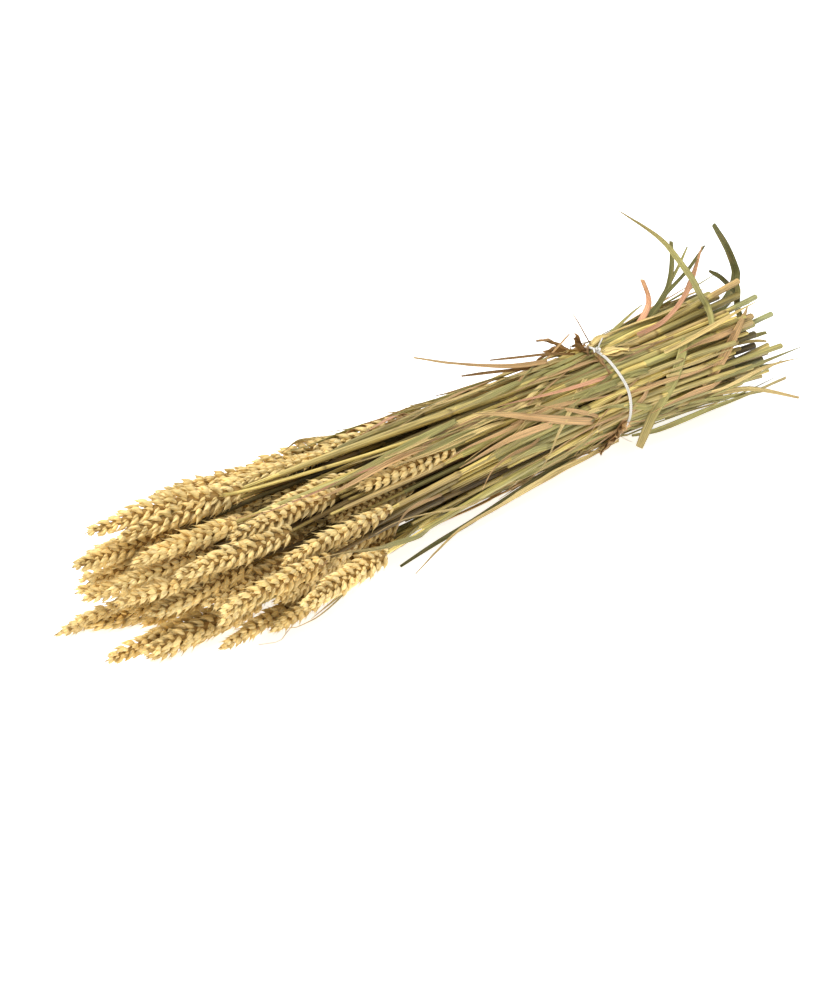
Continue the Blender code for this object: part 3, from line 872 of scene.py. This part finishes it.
def ear_mesh(stalk, settings, rng):
    """One ear: two rows of spikelets that lean outwards, with husks fanned in each."""
    count = settings.spikelets
    run = ear_run(stalk, EAR_POINTS)
    forward_all = headings(run)
    roll = rng.uniform(0, math.pi)
    form, across, along = floret_form()
    share = len(form)
    points, tints, grains = [], [], []
    palette = np.array((settings.gold, settings.pale, settings.tan))
    mood = rng.dirichlet((3.0, 1.6, 1.3))
    base = mood @ palette
    for i in range(count):
        t = i / (count - 1)
        crown = i == count - 1
        size = np.interp(t, (0, 0.14, 0.60, 0.86, 1), (0.70, 1.0, 1.0, 0.80, 0.56))
        size *= rng.uniform(0.94, 1.06)
        length = settings.length * size
        place_at = min(t * (1 - 0.0090 / stalk.ear), 1) * (EAR_POINTS - 1)
        low = int(min(place_at, EAR_POINTS - 2))
        middle = run[low] + (run[low + 1] - run[low]) * (place_at - low)
        ahead = forward_all[low]
        turn = roll + 0.35 * t + rng.normal(0, 0.05) + (math.pi / 2 if crown else 0)
        level = unit(np.cross(ahead, (0.0, 0.1, 1.0)))
        across_ear = math.cos(turn) * level + math.sin(turn) * np.cross(ahead, level)
        row = 1 if i % 2 else -1
        opening = settings.opening * np.interp(t, (0, 0.5, 1), (1.0, 1.0, 0.40))
        opening = 0.0 if crown else opening + rng.normal(0, 0.05)
        axis = math.cos(opening) * ahead + math.sin(opening) * row * across_ear
        out = math.cos(opening) * row * across_ear - math.sin(opening) * ahead
        fan = np.cross(out, axis)
        foot = middle + across_ear * row * (0 if crown else 0.0008)
        for angle, start, outwards, scale, outer in FLORETS:
            lean = math.radians(angle) * rng.uniform(0.85, 1.15) + rng.normal(0, 0.06)
            grow = scale * rng.uniform(0.92, 1.07)
            along_it = math.cos(lean) * axis + math.sin(lean) * fan
            beside = math.cos(lean) * fan - math.sin(lean) * axis
            rise = rng.normal(0.05, 0.09)
            along_it, face = (math.cos(rise) * along_it + math.sin(rise) * out,
                              math.cos(rise) * out - math.sin(rise) * along_it)
            wide, deep = settings.width, settings.depth
            if outer:
                wide, deep = wide * 0.92, deep * 0.80
            wide, deep = wide * size * grow ** 0.7, deep * size * grow ** 0.7
            place = foot + along_it * start * size + out * outwards * size
            spread = (form[:, :1] * wide * beside + form[:, 1:2] * deep * face
                      + form[:, 2:] * (length * grow) * along_it)
            bend = (form[:, 2:] - 0.5) ** 2 * 0.0012 * size
            points.append(place + spread - out * bend)
            pick = rng.dirichlet((2.2, 1.2, 1.0)) @ palette
            tint = (0.45 * base + 0.55 * pick) * rng.uniform(0.86, 1.08)
            tints.append(np.tile(tint, (share, 1)))
            grains.append(np.stack((across, along, np.full(share, rng.random())), 1))
    husks = shaped(florets_mesh(count * len(FLORETS)), np.concatenate(points),
                   np.concatenate(tints), np.concatenate(grains))
    # The ear's hidden middle is partly its real middle and partly painted shade: a dark tube
    # that fills the gaps between the spikelets.
    core = np.interp(np.linspace(0, 1, EAR_POINTS), (0, 0.06, 0.6, 0.9, 1), (0, 1, 0.9, 0.5, 0))
    dark = 0.35 * np.array(settings.shade) + 0.5 * np.array(settings.tan)
    return [husks, tube(run, core * settings.core, 6, dark, 0.5)]


def straw_meshes(bunch, stalk, settings, rng, around=9):
    """A straw with its joints and sheaths, hollow at its cut end."""
    start = stalk.x[0] + max(stalk.ear - 0.004, 0)
    end = stalk.x[-1]
    joints, at = [], end - rng.uniform(0.02, 0.10)
    while at > start + 0.06:
        joints.append(at)
        at -= rng.uniform(0.09, 0.15)
    x = set(np.arange(start, end, 0.008))
    for joint in joints:
        x.update(joint + d for d in (-0.0030, -0.0012, 0.0004, 0.0020, 0.0034))
    collars = []
    for joint, upper in zip(joints, [*joints[1:], start]):
        span = joint - upper
        collar = joint - span * rng.uniform(0.55, 1.0)
        if rng.random() < 0.85:
            collars.append((max(collar, start + 0.01), joint))
            x.update((collars[-1][0] - 0.0004, collars[-1][0] + 0.0004))
    if rng.random() < 0.75:
        collars.append((joints[0] + 0.004 if joints else start + 0.01, end))
    x = np.array(sorted(v for v in x if start <= v < end - 0.001))
    radius = np.interp(x, stalk.x, stalk.radius)
    if stalk.ear:
        neck = np.interp(stalk.x[0] + stalk.ear + 0.004, stalk.x, stalk.radius)
        radius = np.where(x < stalk.x[0] + stalk.ear + 0.002, min(neck, 0.0013), radius)
    palette = np.array((settings.olive, settings.grey_green, settings.tan))
    bare = np.array(settings.yellow) * rng.uniform(0.82, 1.12)
    tint = np.tile(bare, (len(x), 1))
    for collar, joint in collars:
        covered = (x >= collar) & (x <= joint)
        radius[covered] += settings.sheath
        mix = rng.dirichlet((0.9, 0.7, 0.8))
        colour = (mix @ palette) * rng.uniform(0.82, 1.15)
        tint[covered] = colour
    for joint in joints:
        swell = np.exp(-((x - joint) / 0.0016) ** 2)
        radius = radius * (1 + 0.16 * swell)
        tint = tint + (np.array(settings.node) - tint) * np.minimum(0.85 * swell, 1)[:, None]
    points = np.array([stalk.point(v) for v in x])
    # Painted shade: straws deep inside the bunch are darkened by their depth below its skin.
    tint = tint * bunch.painted_depth_shade(points)
    last = stalk.point(end)
    inward = unit(points[-1] - last)
    ahead = headings(np.vstack((points, last)))
    ahead = np.vstack((ahead[:1], ahead, np.tile(ahead[-1], (5, 1))))
    inner = radius[-1] - settings.wall
    points = np.vstack((points[:1], points, last + inward * 0.0003, last, last,
                        last + inward * 0.0004, last + inward * 0.006, last + inward * 0.006))
    rims = (radius[-1], radius[-1] * 0.985, inner, inner * 0.97, inner * 0.95, 0.0)
    radius = np.concatenate(((0.0,), radius, rims))
    cut = np.array(settings.yellow) * 1.15
    # Painted shade: the inside of the hollow cut end is painted dark.
    dark = np.array(settings.node) * 0.30
    tint = np.vstack((tint[:1], tint, tint[-1], cut, cut * 0.8, dark, dark, dark))
    flat = rng.uniform(0.82, 1.0)
    return tube(points, radius, around, tint, stalk.own * 10, stalk.own, flat,
                rng.uniform(0, 3), ahead)


def leaf_rings(node):
    """The rings of four points that make a leaf's solid, in order along it."""
    source = NODES[node].data
    points = np.array([vert.co for vert in source.vertices], float)
    keys, which = np.unique(np.round(points, 6), axis=0, return_inverse=True)
    which = which.ravel()
    beside = [set() for _ in keys]
    for edge in source.edges:
        a, b = (which[v] for v in edge.vertices)
        if a != b:
            beside[a].add(b)
            beside[b].add(a)

    def distances(starts):
        far = np.full(len(keys), np.inf)
        far[list(starts)] = 0
        waiting = set(starts)
        while waiting:
            at = min(waiting, key=lambda v: far[v])
            waiting.remove(at)
            for other in beside[at]:
                way = far[at] + np.linalg.norm(keys[at] - keys[other])
                if way < far[other] - 1e-9:
                    far[other] = way
                    waiting.add(other)
        return far

    corner = int(np.argmax(distances([0])))
    gap = distances([corner])
    first = np.argsort(gap)[:4]
    order = np.argsort(distances([int(v) for v in first]), kind="stable")
    return keys[order].reshape(-1, 4, 3)


def leaf_line(node):
    """Middles, width directions and widths along a leaf's solid."""
    rings = leaf_rings(node)
    middles = rings.mean(1)
    sides, widths = [], []
    for ring in rings:
        gaps = ring[:, None] - ring[None]
        far = np.linalg.norm(gaps, axis=2)
        i, j = np.unravel_index(np.argmax(far), far.shape)
        sides.append(gaps[i, j] / max(far[i, j], 1e-9))
        widths.append(far[i, j])
    for k in range(1, len(sides)):
        if sides[k] @ sides[k - 1] < 0:
            sides[k] = -sides[k]
    return middles, np.array(sides), np.array(widths)


POINTED = (0.70, 0.95, 1.00, 0.70, 0.06)  # widths along a blade, from foot to tip
TORN = (0.65, 0.90, 1.00, 0.95, 0.75)
WHIP = (0.70, 0.85, 1.00, 0.50, 0.09)
NAMED_LOOKS = {  # colour, fold, turns of the blade, slot, breadth, outline
    "leaf_arching": ("khaki", 0.35, 0.5, "leaf", 1.20, WHIP),
    "leaf_dark_curled": ("dark", 0.40, 0.5, "leaf", 1.35, (0.8, 1.0, 1.0, 0.6, 0.4)),
    "leaf_upright": ("dark", 0.30, 0.15, "leaf", 1.15, (0.9, 1.0, 0.9, 0.9, 0.8)),
    "leaf_rust_tip": ("rust", 0.40, 0.5, "leaf_rust", 1.10, (0.7, 0.7, 0.7, 1.0, 0.15)),
    "leaf_rust_stub": ("rust", 0.30, 0.2, "leaf_rust", 1.20, TORN),
    "leaf_over_end": ("tan", 0.25, 0.4, "leaf", 1.05, POINTED),
    "leaf_tie_crossing": ("khaki", 0.25, 0.3, "leaf", 1.15, TORN),
    "leaf_low_trailing": ("khaki", 0.45, 0.4, "leaf", 0.95, (0.4, 0.9, 0.9, 0.7, 0.9)),
    "leaf_end_spread": ("straw", 0.30, 0.4, "leaf", 0.90, (0.7, 0.9, 1.0, 0.7, 0.5)),
    "leaf_top_stray": ("tan", 0.35, 0.4, "leaf", 0.90, (0.9, 1.0, 0.9, 0.7, 0.4)),
    "leaf_side_trailing": ("straw", 0.45, 0.4, "leaf", 1.10, (0.4, 0.6, 1.0, 0.6, 0.1)),
    "leaf_crossing": ("tan", 0.25, 0.3, "leaf", 0.85, POINTED),
    "leaf_over_ears": ("khaki", 0.30, 0.2, "leaf", 0.85, POINTED),
}

SMALL_BLADES = (  # width, colour, and places measured from the tie
    (0.0028, "khaki", ((0.084, 0.018, 0.040), (0.097, 0.019, 0.051), (0.110, 0.020, 0.065),
                       (0.118, 0.020, 0.078))),
    (0.0030, "dark", ((0.065, 0.006, 0.044), (0.084, 0.007, 0.055), (0.107, 0.008, 0.066),
                      (0.126, 0.010, 0.080))),
    (0.0040, "dark", ((0.161, 0.006, 0.034), (0.155, 0.008, 0.041), (0.146, 0.010, 0.050),
                      (0.135, 0.012, 0.057))),
    (0.0050, "khaki", ((0.154, -0.008, 0.016), (0.151, -0.004, 0.029),
                       (0.154, -0.002, 0.041), (0.153, 0.000, 0.048))),
    (0.0032, "khaki", ((0.027, 0.014, 0.032), (0.044, 0.016, 0.037), (0.058, 0.018, 0.041),
                       (0.072, 0.020, 0.044))),
    (0.0009, "tan", ((0.008, 0.010, 0.032), (0.000, 0.010, 0.044), (-0.007, 0.010, 0.055),
                     (-0.013, 0.010, 0.063))),
    (0.0020, "brown", ((-0.015, 0.004, 0.034), (-0.041, 0.006, 0.041),
                       (-0.066, 0.008, 0.045), (-0.094, 0.010, 0.050))),
    (0.0024, "brown", ((-0.043, 0.006, 0.032), (-0.065, 0.009, 0.035),
                       (-0.092, 0.011, 0.040), (-0.118, 0.013, 0.044))),
    (0.0016, "tan", ((-0.036, 0.012, 0.033), (-0.026, 0.013, 0.038), (-0.017, 0.014, 0.042),
                     (-0.010, 0.015, 0.045))),
    (0.0032, "dark", ((0.124, -0.020, -0.015), (0.138, -0.024, -0.013),
                      (0.153, -0.027, -0.014), (0.168, -0.030, -0.015))),
    (0.0042, "khaki", ((0.105, -0.010, 0.007), (0.127, -0.012, 0.007),
                       (0.150, -0.014, 0.005), (0.177, -0.017, 0.005))),
    (0.0026, "straw", ((0.143, -0.012, 0.002), (0.153, -0.014, 0.002),
                       (0.163, -0.016, 0.001), (0.174, -0.018, -0.002))),
    (0.0036, "dark", ((-0.040, -0.028, -0.024), (-0.107, -0.036, -0.029),
                      (-0.161, -0.044, -0.033), (-0.203, -0.050, -0.034),
                      (-0.234, -0.055, -0.036))),
)


def small_blade(settings, rng, width, colour, places):
    """A short torn blade through a few given places."""
    points, _ = rounded_run(TIE + np.array(places), 25)
    t = np.linspace(0, 1, 25)
    outwards = np.tile(FRONT, (25, 1))
    tint = np.array(getattr(settings, colour)) * rng.uniform(0.85, 1.1)
    turn = rng.normal(0, 0.3) + rng.normal(0, 0.5) * t
    widths = width * np.interp(t, (0, 0.3, 0.8, 1), (0.8, 1.0, 0.9, 0.5))
    return ribbon(points, outwards, widths, tint, rng.random() * 10, 0.4, turn)


def named_leaf(node, settings, rng):
    """A blade along its solid, with its own fold, twist and drying colours."""
    colour, fold, turns, slot, broad, outline = NAMED_LOOKS[node]
    middles, sides, widths = leaf_line(node)
    ends = np.linalg.norm(middles[[0, -1], 1:] - TIE[1:], axis=1)
    if ends[1] < ends[0]:
        middles, sides, widths = middles[::-1], sides[::-1], widths[::-1]
    count = max(24, 5 * len(middles))
    points = rounded_run(middles, count + 1)[0]
    t = np.linspace(0, 1, count + 1)
    source = np.linspace(0, 1, len(middles))
    side = unit(np.stack([np.interp(t, source, sides[:, k]) for k in range(3)], 1))
    width = widths.max() * broad * np.interp(t, (0, 0.15, 0.35, 0.7, 1), outline)
    faces = unit(np.cross(side, headings(points)))
    faces = faces * np.sign((faces @ FRONT).sum()) + np.array(FRONT) * 1.8
    turn = turns * np.sin(t * rng.uniform(4, 7) + rng.uniform(0, 6)) * (0.2 + t)
    base = np.array(getattr(settings, colour)) * rng.uniform(0.92, 1.08)
    tip = np.array(getattr(settings, {"tan": "straw", "dark": "dark"}.get(colour, "tan")))
    tint = dried(base, tip, np.clip(t * 1.6 - 0.9, 0, 1) * 0.6)
    folds = fold * (0.6 + 0.8 * np.abs(np.sin(t * 5 + rng.uniform(0, 6))))
    return ribbon(points, faces, width, tint, rng.random() * 10, folds, turn), slot


LEAF_REGIONS = (  # stretches of x in which loose leaves have their feet
    (-0.08, 0.06), (0.00, 0.13), (0.07, 0.17), (-0.02, 0.10), (0.05, 0.15), (0.15, 0.26),
)
LEAF_ODDS = {"khaki": 1.2, "straw": 1.3, "tan": 1.2, "rust": 0.05}  # of their colours


def loose_leaf(bunch, settings, rng, region):
    """A blade that lies along the outside of the bunch."""
    low, high = region
    long = rng.uniform(0.055, 0.150)
    start = rng.uniform(low, high)
    towards_ears = rng.random() < 0.85
    angle = rng.uniform(-math.pi, math.pi)
    slant = rng.normal(0, 1) * (0.65 if rng.random() < 0.18 else 0.20)
    t = np.linspace(0, 1, BLADE_POINTS)
    if not towards_ears:
        long = min(long, CAD_BOX[1][0] - 0.004 - start)
    x = start - long * t if towards_ears else start + long * t
    around = angle + slant * t + 0.05 * np.sin(t * rng.uniform(3, 6) + rng.uniform(0, 6))
    tipping = rng.uniform(0, 0.012) * rng.random() * np.clip(t * 1.8 - 0.8, 0, 1) ** 2
    lift = 0.0006 + rng.uniform(0, 0.0016) * np.sin(t * math.pi) + tipping
    lift = lift - 0.0030 * np.clip(1 - t * 6, 0, 1)
    points, faces = bunch.on_skin(x, around, lift)
    width = blade_widths(len(t), rng.uniform(0.0014, 0.0056))
    turn = rng.normal(0, 0.35) * np.sin(t * rng.uniform(2, 6) + rng.uniform(0, 6))
    names, odds = list(LEAF_ODDS), np.array(list(LEAF_ODDS.values()))
    picked = names[rng.choice(len(names), p=odds / odds.sum())]
    base = np.array(getattr(settings, picked)) * rng.uniform(0.78, 1.15)
    end = np.array(settings.tan) * rng.uniform(0.8, 1.1)
    tint = dried(base, end, np.clip(t * 1.5 - 0.6, 0, 1) * rng.uniform(0, 0.8))
    folds = rng.uniform(0.05, 0.55) * (0.5 + np.abs(np.sin(t * 4 + rng.uniform(0, 6))))
    return ribbon(points, faces, width, tint, rng.random() * 10, folds, turn)


def end_blade(bunch, settings, rng):
    """A blade that sticks out past the cut ends with a free tip."""
    t = np.linspace(0, 1, BLADE_POINTS)
    start = rng.uniform(0.175, 0.235)
    x = start + (min(CAD_BOX[1][0] - 0.006, start + rng.uniform(0.05, 0.12)) - start) * t
    around = rng.uniform(-math.pi, math.pi) + rng.normal(0, 0.35) * t
    lift = 0.0008 + rng.uniform(-0.004, 0.014) * t ** 2
    points, faces = bunch.on_skin(x, around, lift)
    width = blade_widths(len(t), rng.uniform(0.0026, 0.0052), 0.6, 0.55)
    turn = rng.normal(0, 0.6) * t
    base = np.array(getattr(settings, rng.choice(("khaki", "straw", "tan", "khaki"))))
    return ribbon(points, faces, width, base * rng.uniform(0.75, 1.1), rng.random() * 10,
                  rng.uniform(0.2, 0.7), turn)


TORN_SHEATHS = (  # name, angle round the tie, side of it, how many, colour, rise
    ("upper", 1.20, -1, 13, "brown", 0.018),
    ("lower", -2.65, -1, 11, "tan", 0.007),
    ("near", 1.80, 1, 3, "straw", 0.005),
)


def crumpled_sheath(bunch, settings, rng, angle, way, colour, rise):
    """A torn sheath caught under the cord, its free end crumpled and lifted."""
    long = rng.uniform(0.010, 0.022)
    t = np.linspace(0, 1, 19)
    x = TIE[0] + way * (rng.uniform(-0.002, 0.003) + long * t)
    around = angle + rng.normal(0, 0.22) + rng.normal(0, 0.45) * t
    lift = 0.0014 + rng.uniform(0.15, 1.0) * rise * t
    points, faces = bunch.on_skin(x, around, lift)
    width = blade_widths(len(t), rng.uniform(0.0045, 0.0095), 0.8, 0.45)
    turn = rng.normal(0, 1.0) * t
    base = np.array(getattr(settings, colour)) * rng.uniform(0.7, 1.25)
    return ribbon(points, faces, width, base, rng.random() * 10, rng.uniform(0.2, 0.8),
                  turn, 4, 0.0009, rng)


def plied(run, settings):
    """Two twisted plies along a run."""
    steps = np.linalg.norm(np.diff(run, axis=0), axis=1).sum()
    count = max(12, int(steps / settings.lay * 9))
    points, far = resampled(run, count)
    forward = headings(points)
    side = unit(np.cross(forward, (0.31, 0.2, 0.9)))
    up = np.cross(forward, side)
    meshes = []
    for ply in (0, 1):
        turn = 2 * math.pi * far / settings.lay + math.pi * ply
        strand = points + 0.46 * settings.radius * (
            np.cos(turn)[:, None] * side + np.sin(turn)[:, None] * up)
        radii = np.full(count, 0.56 * settings.radius)
        radii[0] = radii[-1] = 0.0
        meshes.append(tube(strand, radii, 6, settings.white, ply))
    return meshes


# ---- operators ----
BUNCH = {}


def the_bunch():
    """The bunch's stalks, worked out once and shared by the operators."""
    if "made" not in BUNCH:
        settings = bpy.context.scene.wheat_straws
        bunch = Bunch()
        bunch.fill(settings.extra_straws, settings.extra_ears)
        bunch.skin()
        BUNCH["made"] = bunch
    return BUNCH["made"]


class WHEAT_OT_ears(bpy.types.Operator):
    """Builds every ear from its husks"""
    bl_idname = "wheat.ears"
    bl_label = "Ears"

    def execute(self, context):
        settings = context.scene.wheat_ears
        material = ear_finish(settings)
        rng = np.random.default_rng(21)
        bunch = the_bunch()
        for stalk in bunch.solid:
            name = stalk.name.replace("stalk", "ear")
            add_piece(name, ear_mesh(stalk, settings, rng), material, [stalk.name])
        ripe = [s for s in bunch.filling if s.ear]
        for first in range(0, len(ripe), 4):
            meshes = [m for s in ripe[first:first + 4] for m in ear_mesh(s, settings, rng)]
            add_piece(f"filling_ears_{first // 4 + 1:02}", meshes, material)
        return {"FINISHED"}


class WHEAT_OT_straws(bpy.types.Operator):
    """Builds the straws with their joints and sheaths"""
    bl_idname = "wheat.straws"
    bl_label = "Straws"

    def execute(self, context):
        settings = context.scene.wheat_straws
        material = grown_finish("dry_straw", 42.0, 0.35, settings.node, 0.42)
        rng = np.random.default_rng(8)
        bunch = the_bunch()
        for stalk in bunch.solid:
            name = stalk.name.replace("stalk", "straw")
            add_piece(name, [straw_meshes(bunch, stalk, settings, rng)], material,
                      [stalk.name])
        for first in range(0, len(bunch.filling), 5):
            meshes = [straw_meshes(bunch, s, settings, rng)
                      for s in bunch.filling[first:first + 5]]
            add_piece(f"filling_straws_{first // 5 + 1:02}", meshes, material)
        return {"FINISHED"}


class WHEAT_OT_leaves(bpy.types.Operator):
    """Builds the dry blades, loose ones and those with solids of their own"""
    bl_idname = "wheat.leaves"
    bl_label = "Leaves"

    def execute(self, context):
        settings = context.scene.wheat_leaves
        dry = grown_finish("dry_leaf", 20.0, 0.45, settings.brown, 0.55)
        rust = grown_finish("rust_leaf", 20.0, 0.30, settings.brown, 0.55)
        rng = np.random.default_rng(33)
        for node in LEAF_NODES:
            mesh, slot = named_leaf(node, settings, rng)
            material = rust if slot == "leaf_rust" else dry
            add_piece(node.replace("leaf", "blade"), [mesh], material, [node],
                      settings.thickness)
        meshes = [small_blade(settings, rng, *blade) for blade in SMALL_BLADES]
        add_piece("small_blades", meshes, dry, thickness=settings.thickness)
        bunch = the_bunch()
        for group in range(settings.groups):
            meshes = [loose_leaf(bunch, settings, rng, LEAF_REGIONS[k % len(LEAF_REGIONS)])
                      for k in range(settings.per_group)]
            add_piece(f"loose_leaves_{group + 1:02}", meshes, dry,
                      thickness=settings.thickness)
        for side in ("a", "b"):
            meshes = [end_blade(bunch, settings, rng) for _ in range(END_BLADES)]
            add_piece(f"end_blades_{side}", meshes, dry, thickness=settings.thickness)
        for name, angle, way, count, colour, rise in TORN_SHEATHS:
            meshes = [crumpled_sheath(bunch, settings, rng, angle, way, colour, rise)
                      for _ in range(count)]
            add_piece(f"torn_sheaths_{name}", meshes, dry,
                      thickness=settings.thickness)
        return {"FINISHED"}


class WHEAT_OT_cord(bpy.types.Operator):
    """Winds the cotton cord twice round the bunch and knots it"""
    bl_idname = "wheat.cord"
    bl_label = "Cord"

    def execute(self, context):
        settings = context.scene.wheat_cord
        angles, reaches = wrap_outline()
        whole = 2 * CORD_TURNS * math.pi
        turns = np.linspace(0, whole, 260)
        turn = math.radians(CORD_START) + turns
        reach = smoothed(np.interp(turn, angles, reaches, period=2 * math.pi), 24)
        x = TIE[0] + settings.pitch * (turns / whole - 0.5) * 1.6
        wrap = np.stack((x, TIE[1] + reach * np.cos(turn), TIE[2] + reach * np.sin(turn)), 1)
        top = (wrap[0] + wrap[-1]) / 2 + np.array((0, 0, 0.0012))
        low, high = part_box("tie_cord")
        t = np.linspace(0, 2 * math.pi, 60)
        knot = top + 0.0011 * np.stack((
            (np.sin(t) + 2 * np.sin(2 * t)) * 0.9, (np.cos(t) - 2 * np.cos(2 * t)) * 0.7,
            -np.sin(3 * t) * 0.9), 1)
        tail_a = rounded_run([wrap[-1], top + (0.003, 0.002, 0.001),
                              (high[0] - 0.004, top[1] + 0.007, top[2] + 0.0035),
                              (high[0] - 0.001, top[1] + 0.010, top[2] + 0.0010)], 40)[0]
        tail_b = rounded_run([wrap[0], top + (-0.003, -0.001, 0.0015),
                              (low[0] + 0.004, top[1] - 0.004, top[2] + 0.0045),
                              (low[0] + 0.001, top[1] - 0.008, top[2] + 0.0035)], 40)[0]
        meshes = [m for run in (wrap, knot, tail_a, tail_b) for m in plied(run, settings)]
        add_piece("cotton_tie", meshes, cord_finish(settings), ["tie_cord"])
        return {"FINISHED"}


class WHEAT_OT_stage(bpy.types.Operator):
    """Sets the paper floor, the soft light and the camera"""
    bl_idname = "wheat.stage"
    bl_label = "Stage"

    def execute(self, context):
        settings = context.scene.wheat_stage
        scene = context.scene
        turn, rise = settings.azimuth, settings.elevation
        view = np.array((-math.sin(turn) * math.cos(rise), math.cos(turn) * math.cos(rise),
                         -math.sin(rise)))
        right = unit(np.cross(view, (0, 0, 1)))
        up = np.cross(right, view)
        data = bpy.data.cameras.new("camera")
        data.lens = settings.lens
        data.sensor_width = 36
        data.clip_end = CAMERA_REACH
        camera = linked("camera", data)
        place = TIE - settings.distance * view - settings.aside * right - settings.above * up
        turned = Matrix((right, up, -view)).transposed().to_4x4()
        camera.matrix_world = Matrix.Translation(Vector(place)) @ turned
        scene.camera = camera

        bm = bmesh.new()
        bmesh.ops.create_grid(bm, x_segments=1, y_segments=1, size=FLOOR_REACH)
        floor = linked("floor", finished(bm, "floor"))
        paper = Finish("paper", Roughness=0.9, Metallic=0.0, Emission_Color=(1, 1, 1, 1),
                       Emission_Strength=settings.glow)
        paper.use("Base Color", (*settings.floor, 1))
        floor.data.materials.append(paper.material)

        lamp = bpy.data.lights.new("key", "AREA")
        lamp.energy = settings.key
        lamp.size = LAMP_SIZE
        near, left, high = LAMP_PLACE
        spot = Vector(TIE - view * near - right * left + np.array((0, 0, high)))
        aim = (Vector(TIE) - spot).to_track_quat("-Z", "Y")
        linked("key", lamp).matrix_world = Matrix.Translation(spot) @ aim.to_matrix().to_4x4()
        world = bpy.data.worlds.new("sky")
        world.use_nodes = True
        background = world.node_tree.nodes["Background"].inputs
        background["Color"].default_value = (1, 1, 1, 1)
        background["Strength"].default_value = settings.sky
        scene.world = world
        scene.view_settings.view_transform = "Standard"
        return {"FINISHED"}


class WHEAT_PT_panel(bpy.types.Panel):
    bl_idname = "WHEAT_PT_panel"
    bl_label = "Dried wheat bunch"
    bl_space_type = "VIEW_3D"
    bl_region_type = "UI"
    bl_category = "Wheat"

    def draw(self, context):
        for operator, name in zip(OPERATORS, SETTINGS):
            box = self.layout.box()
            box.operator(operator.bl_idname)
            settings = getattr(context.scene, name)
            for setting in settings.bl_rna.properties.keys()[2:]:
                box.prop(settings, setting)


OPERATORS = (WHEAT_OT_ears, WHEAT_OT_straws, WHEAT_OT_leaves, WHEAT_OT_cord, WHEAT_OT_stage)
CLASSES = (*SETTINGS.values(), *OPERATORS, WHEAT_PT_panel)


def register():
    for cls in CLASSES:
        bpy.utils.register_class(cls)
    for name, cls in SETTINGS.items():
        setattr(bpy.types.Scene, name, PointerProperty(type=cls))


def unregister():
    for name in SETTINGS:
        delattr(bpy.types.Scene, name)
    for cls in reversed(CLASSES):
        bpy.utils.unregister_class(cls)


def main():
    register()
    bpy.ops.wheat.stage()
    bpy.ops.wheat.ears()
    bpy.ops.wheat.straws()
    bpy.ops.wheat.leaves()
    bpy.ops.wheat.cord()


if __name__ == "__main__":
    main()
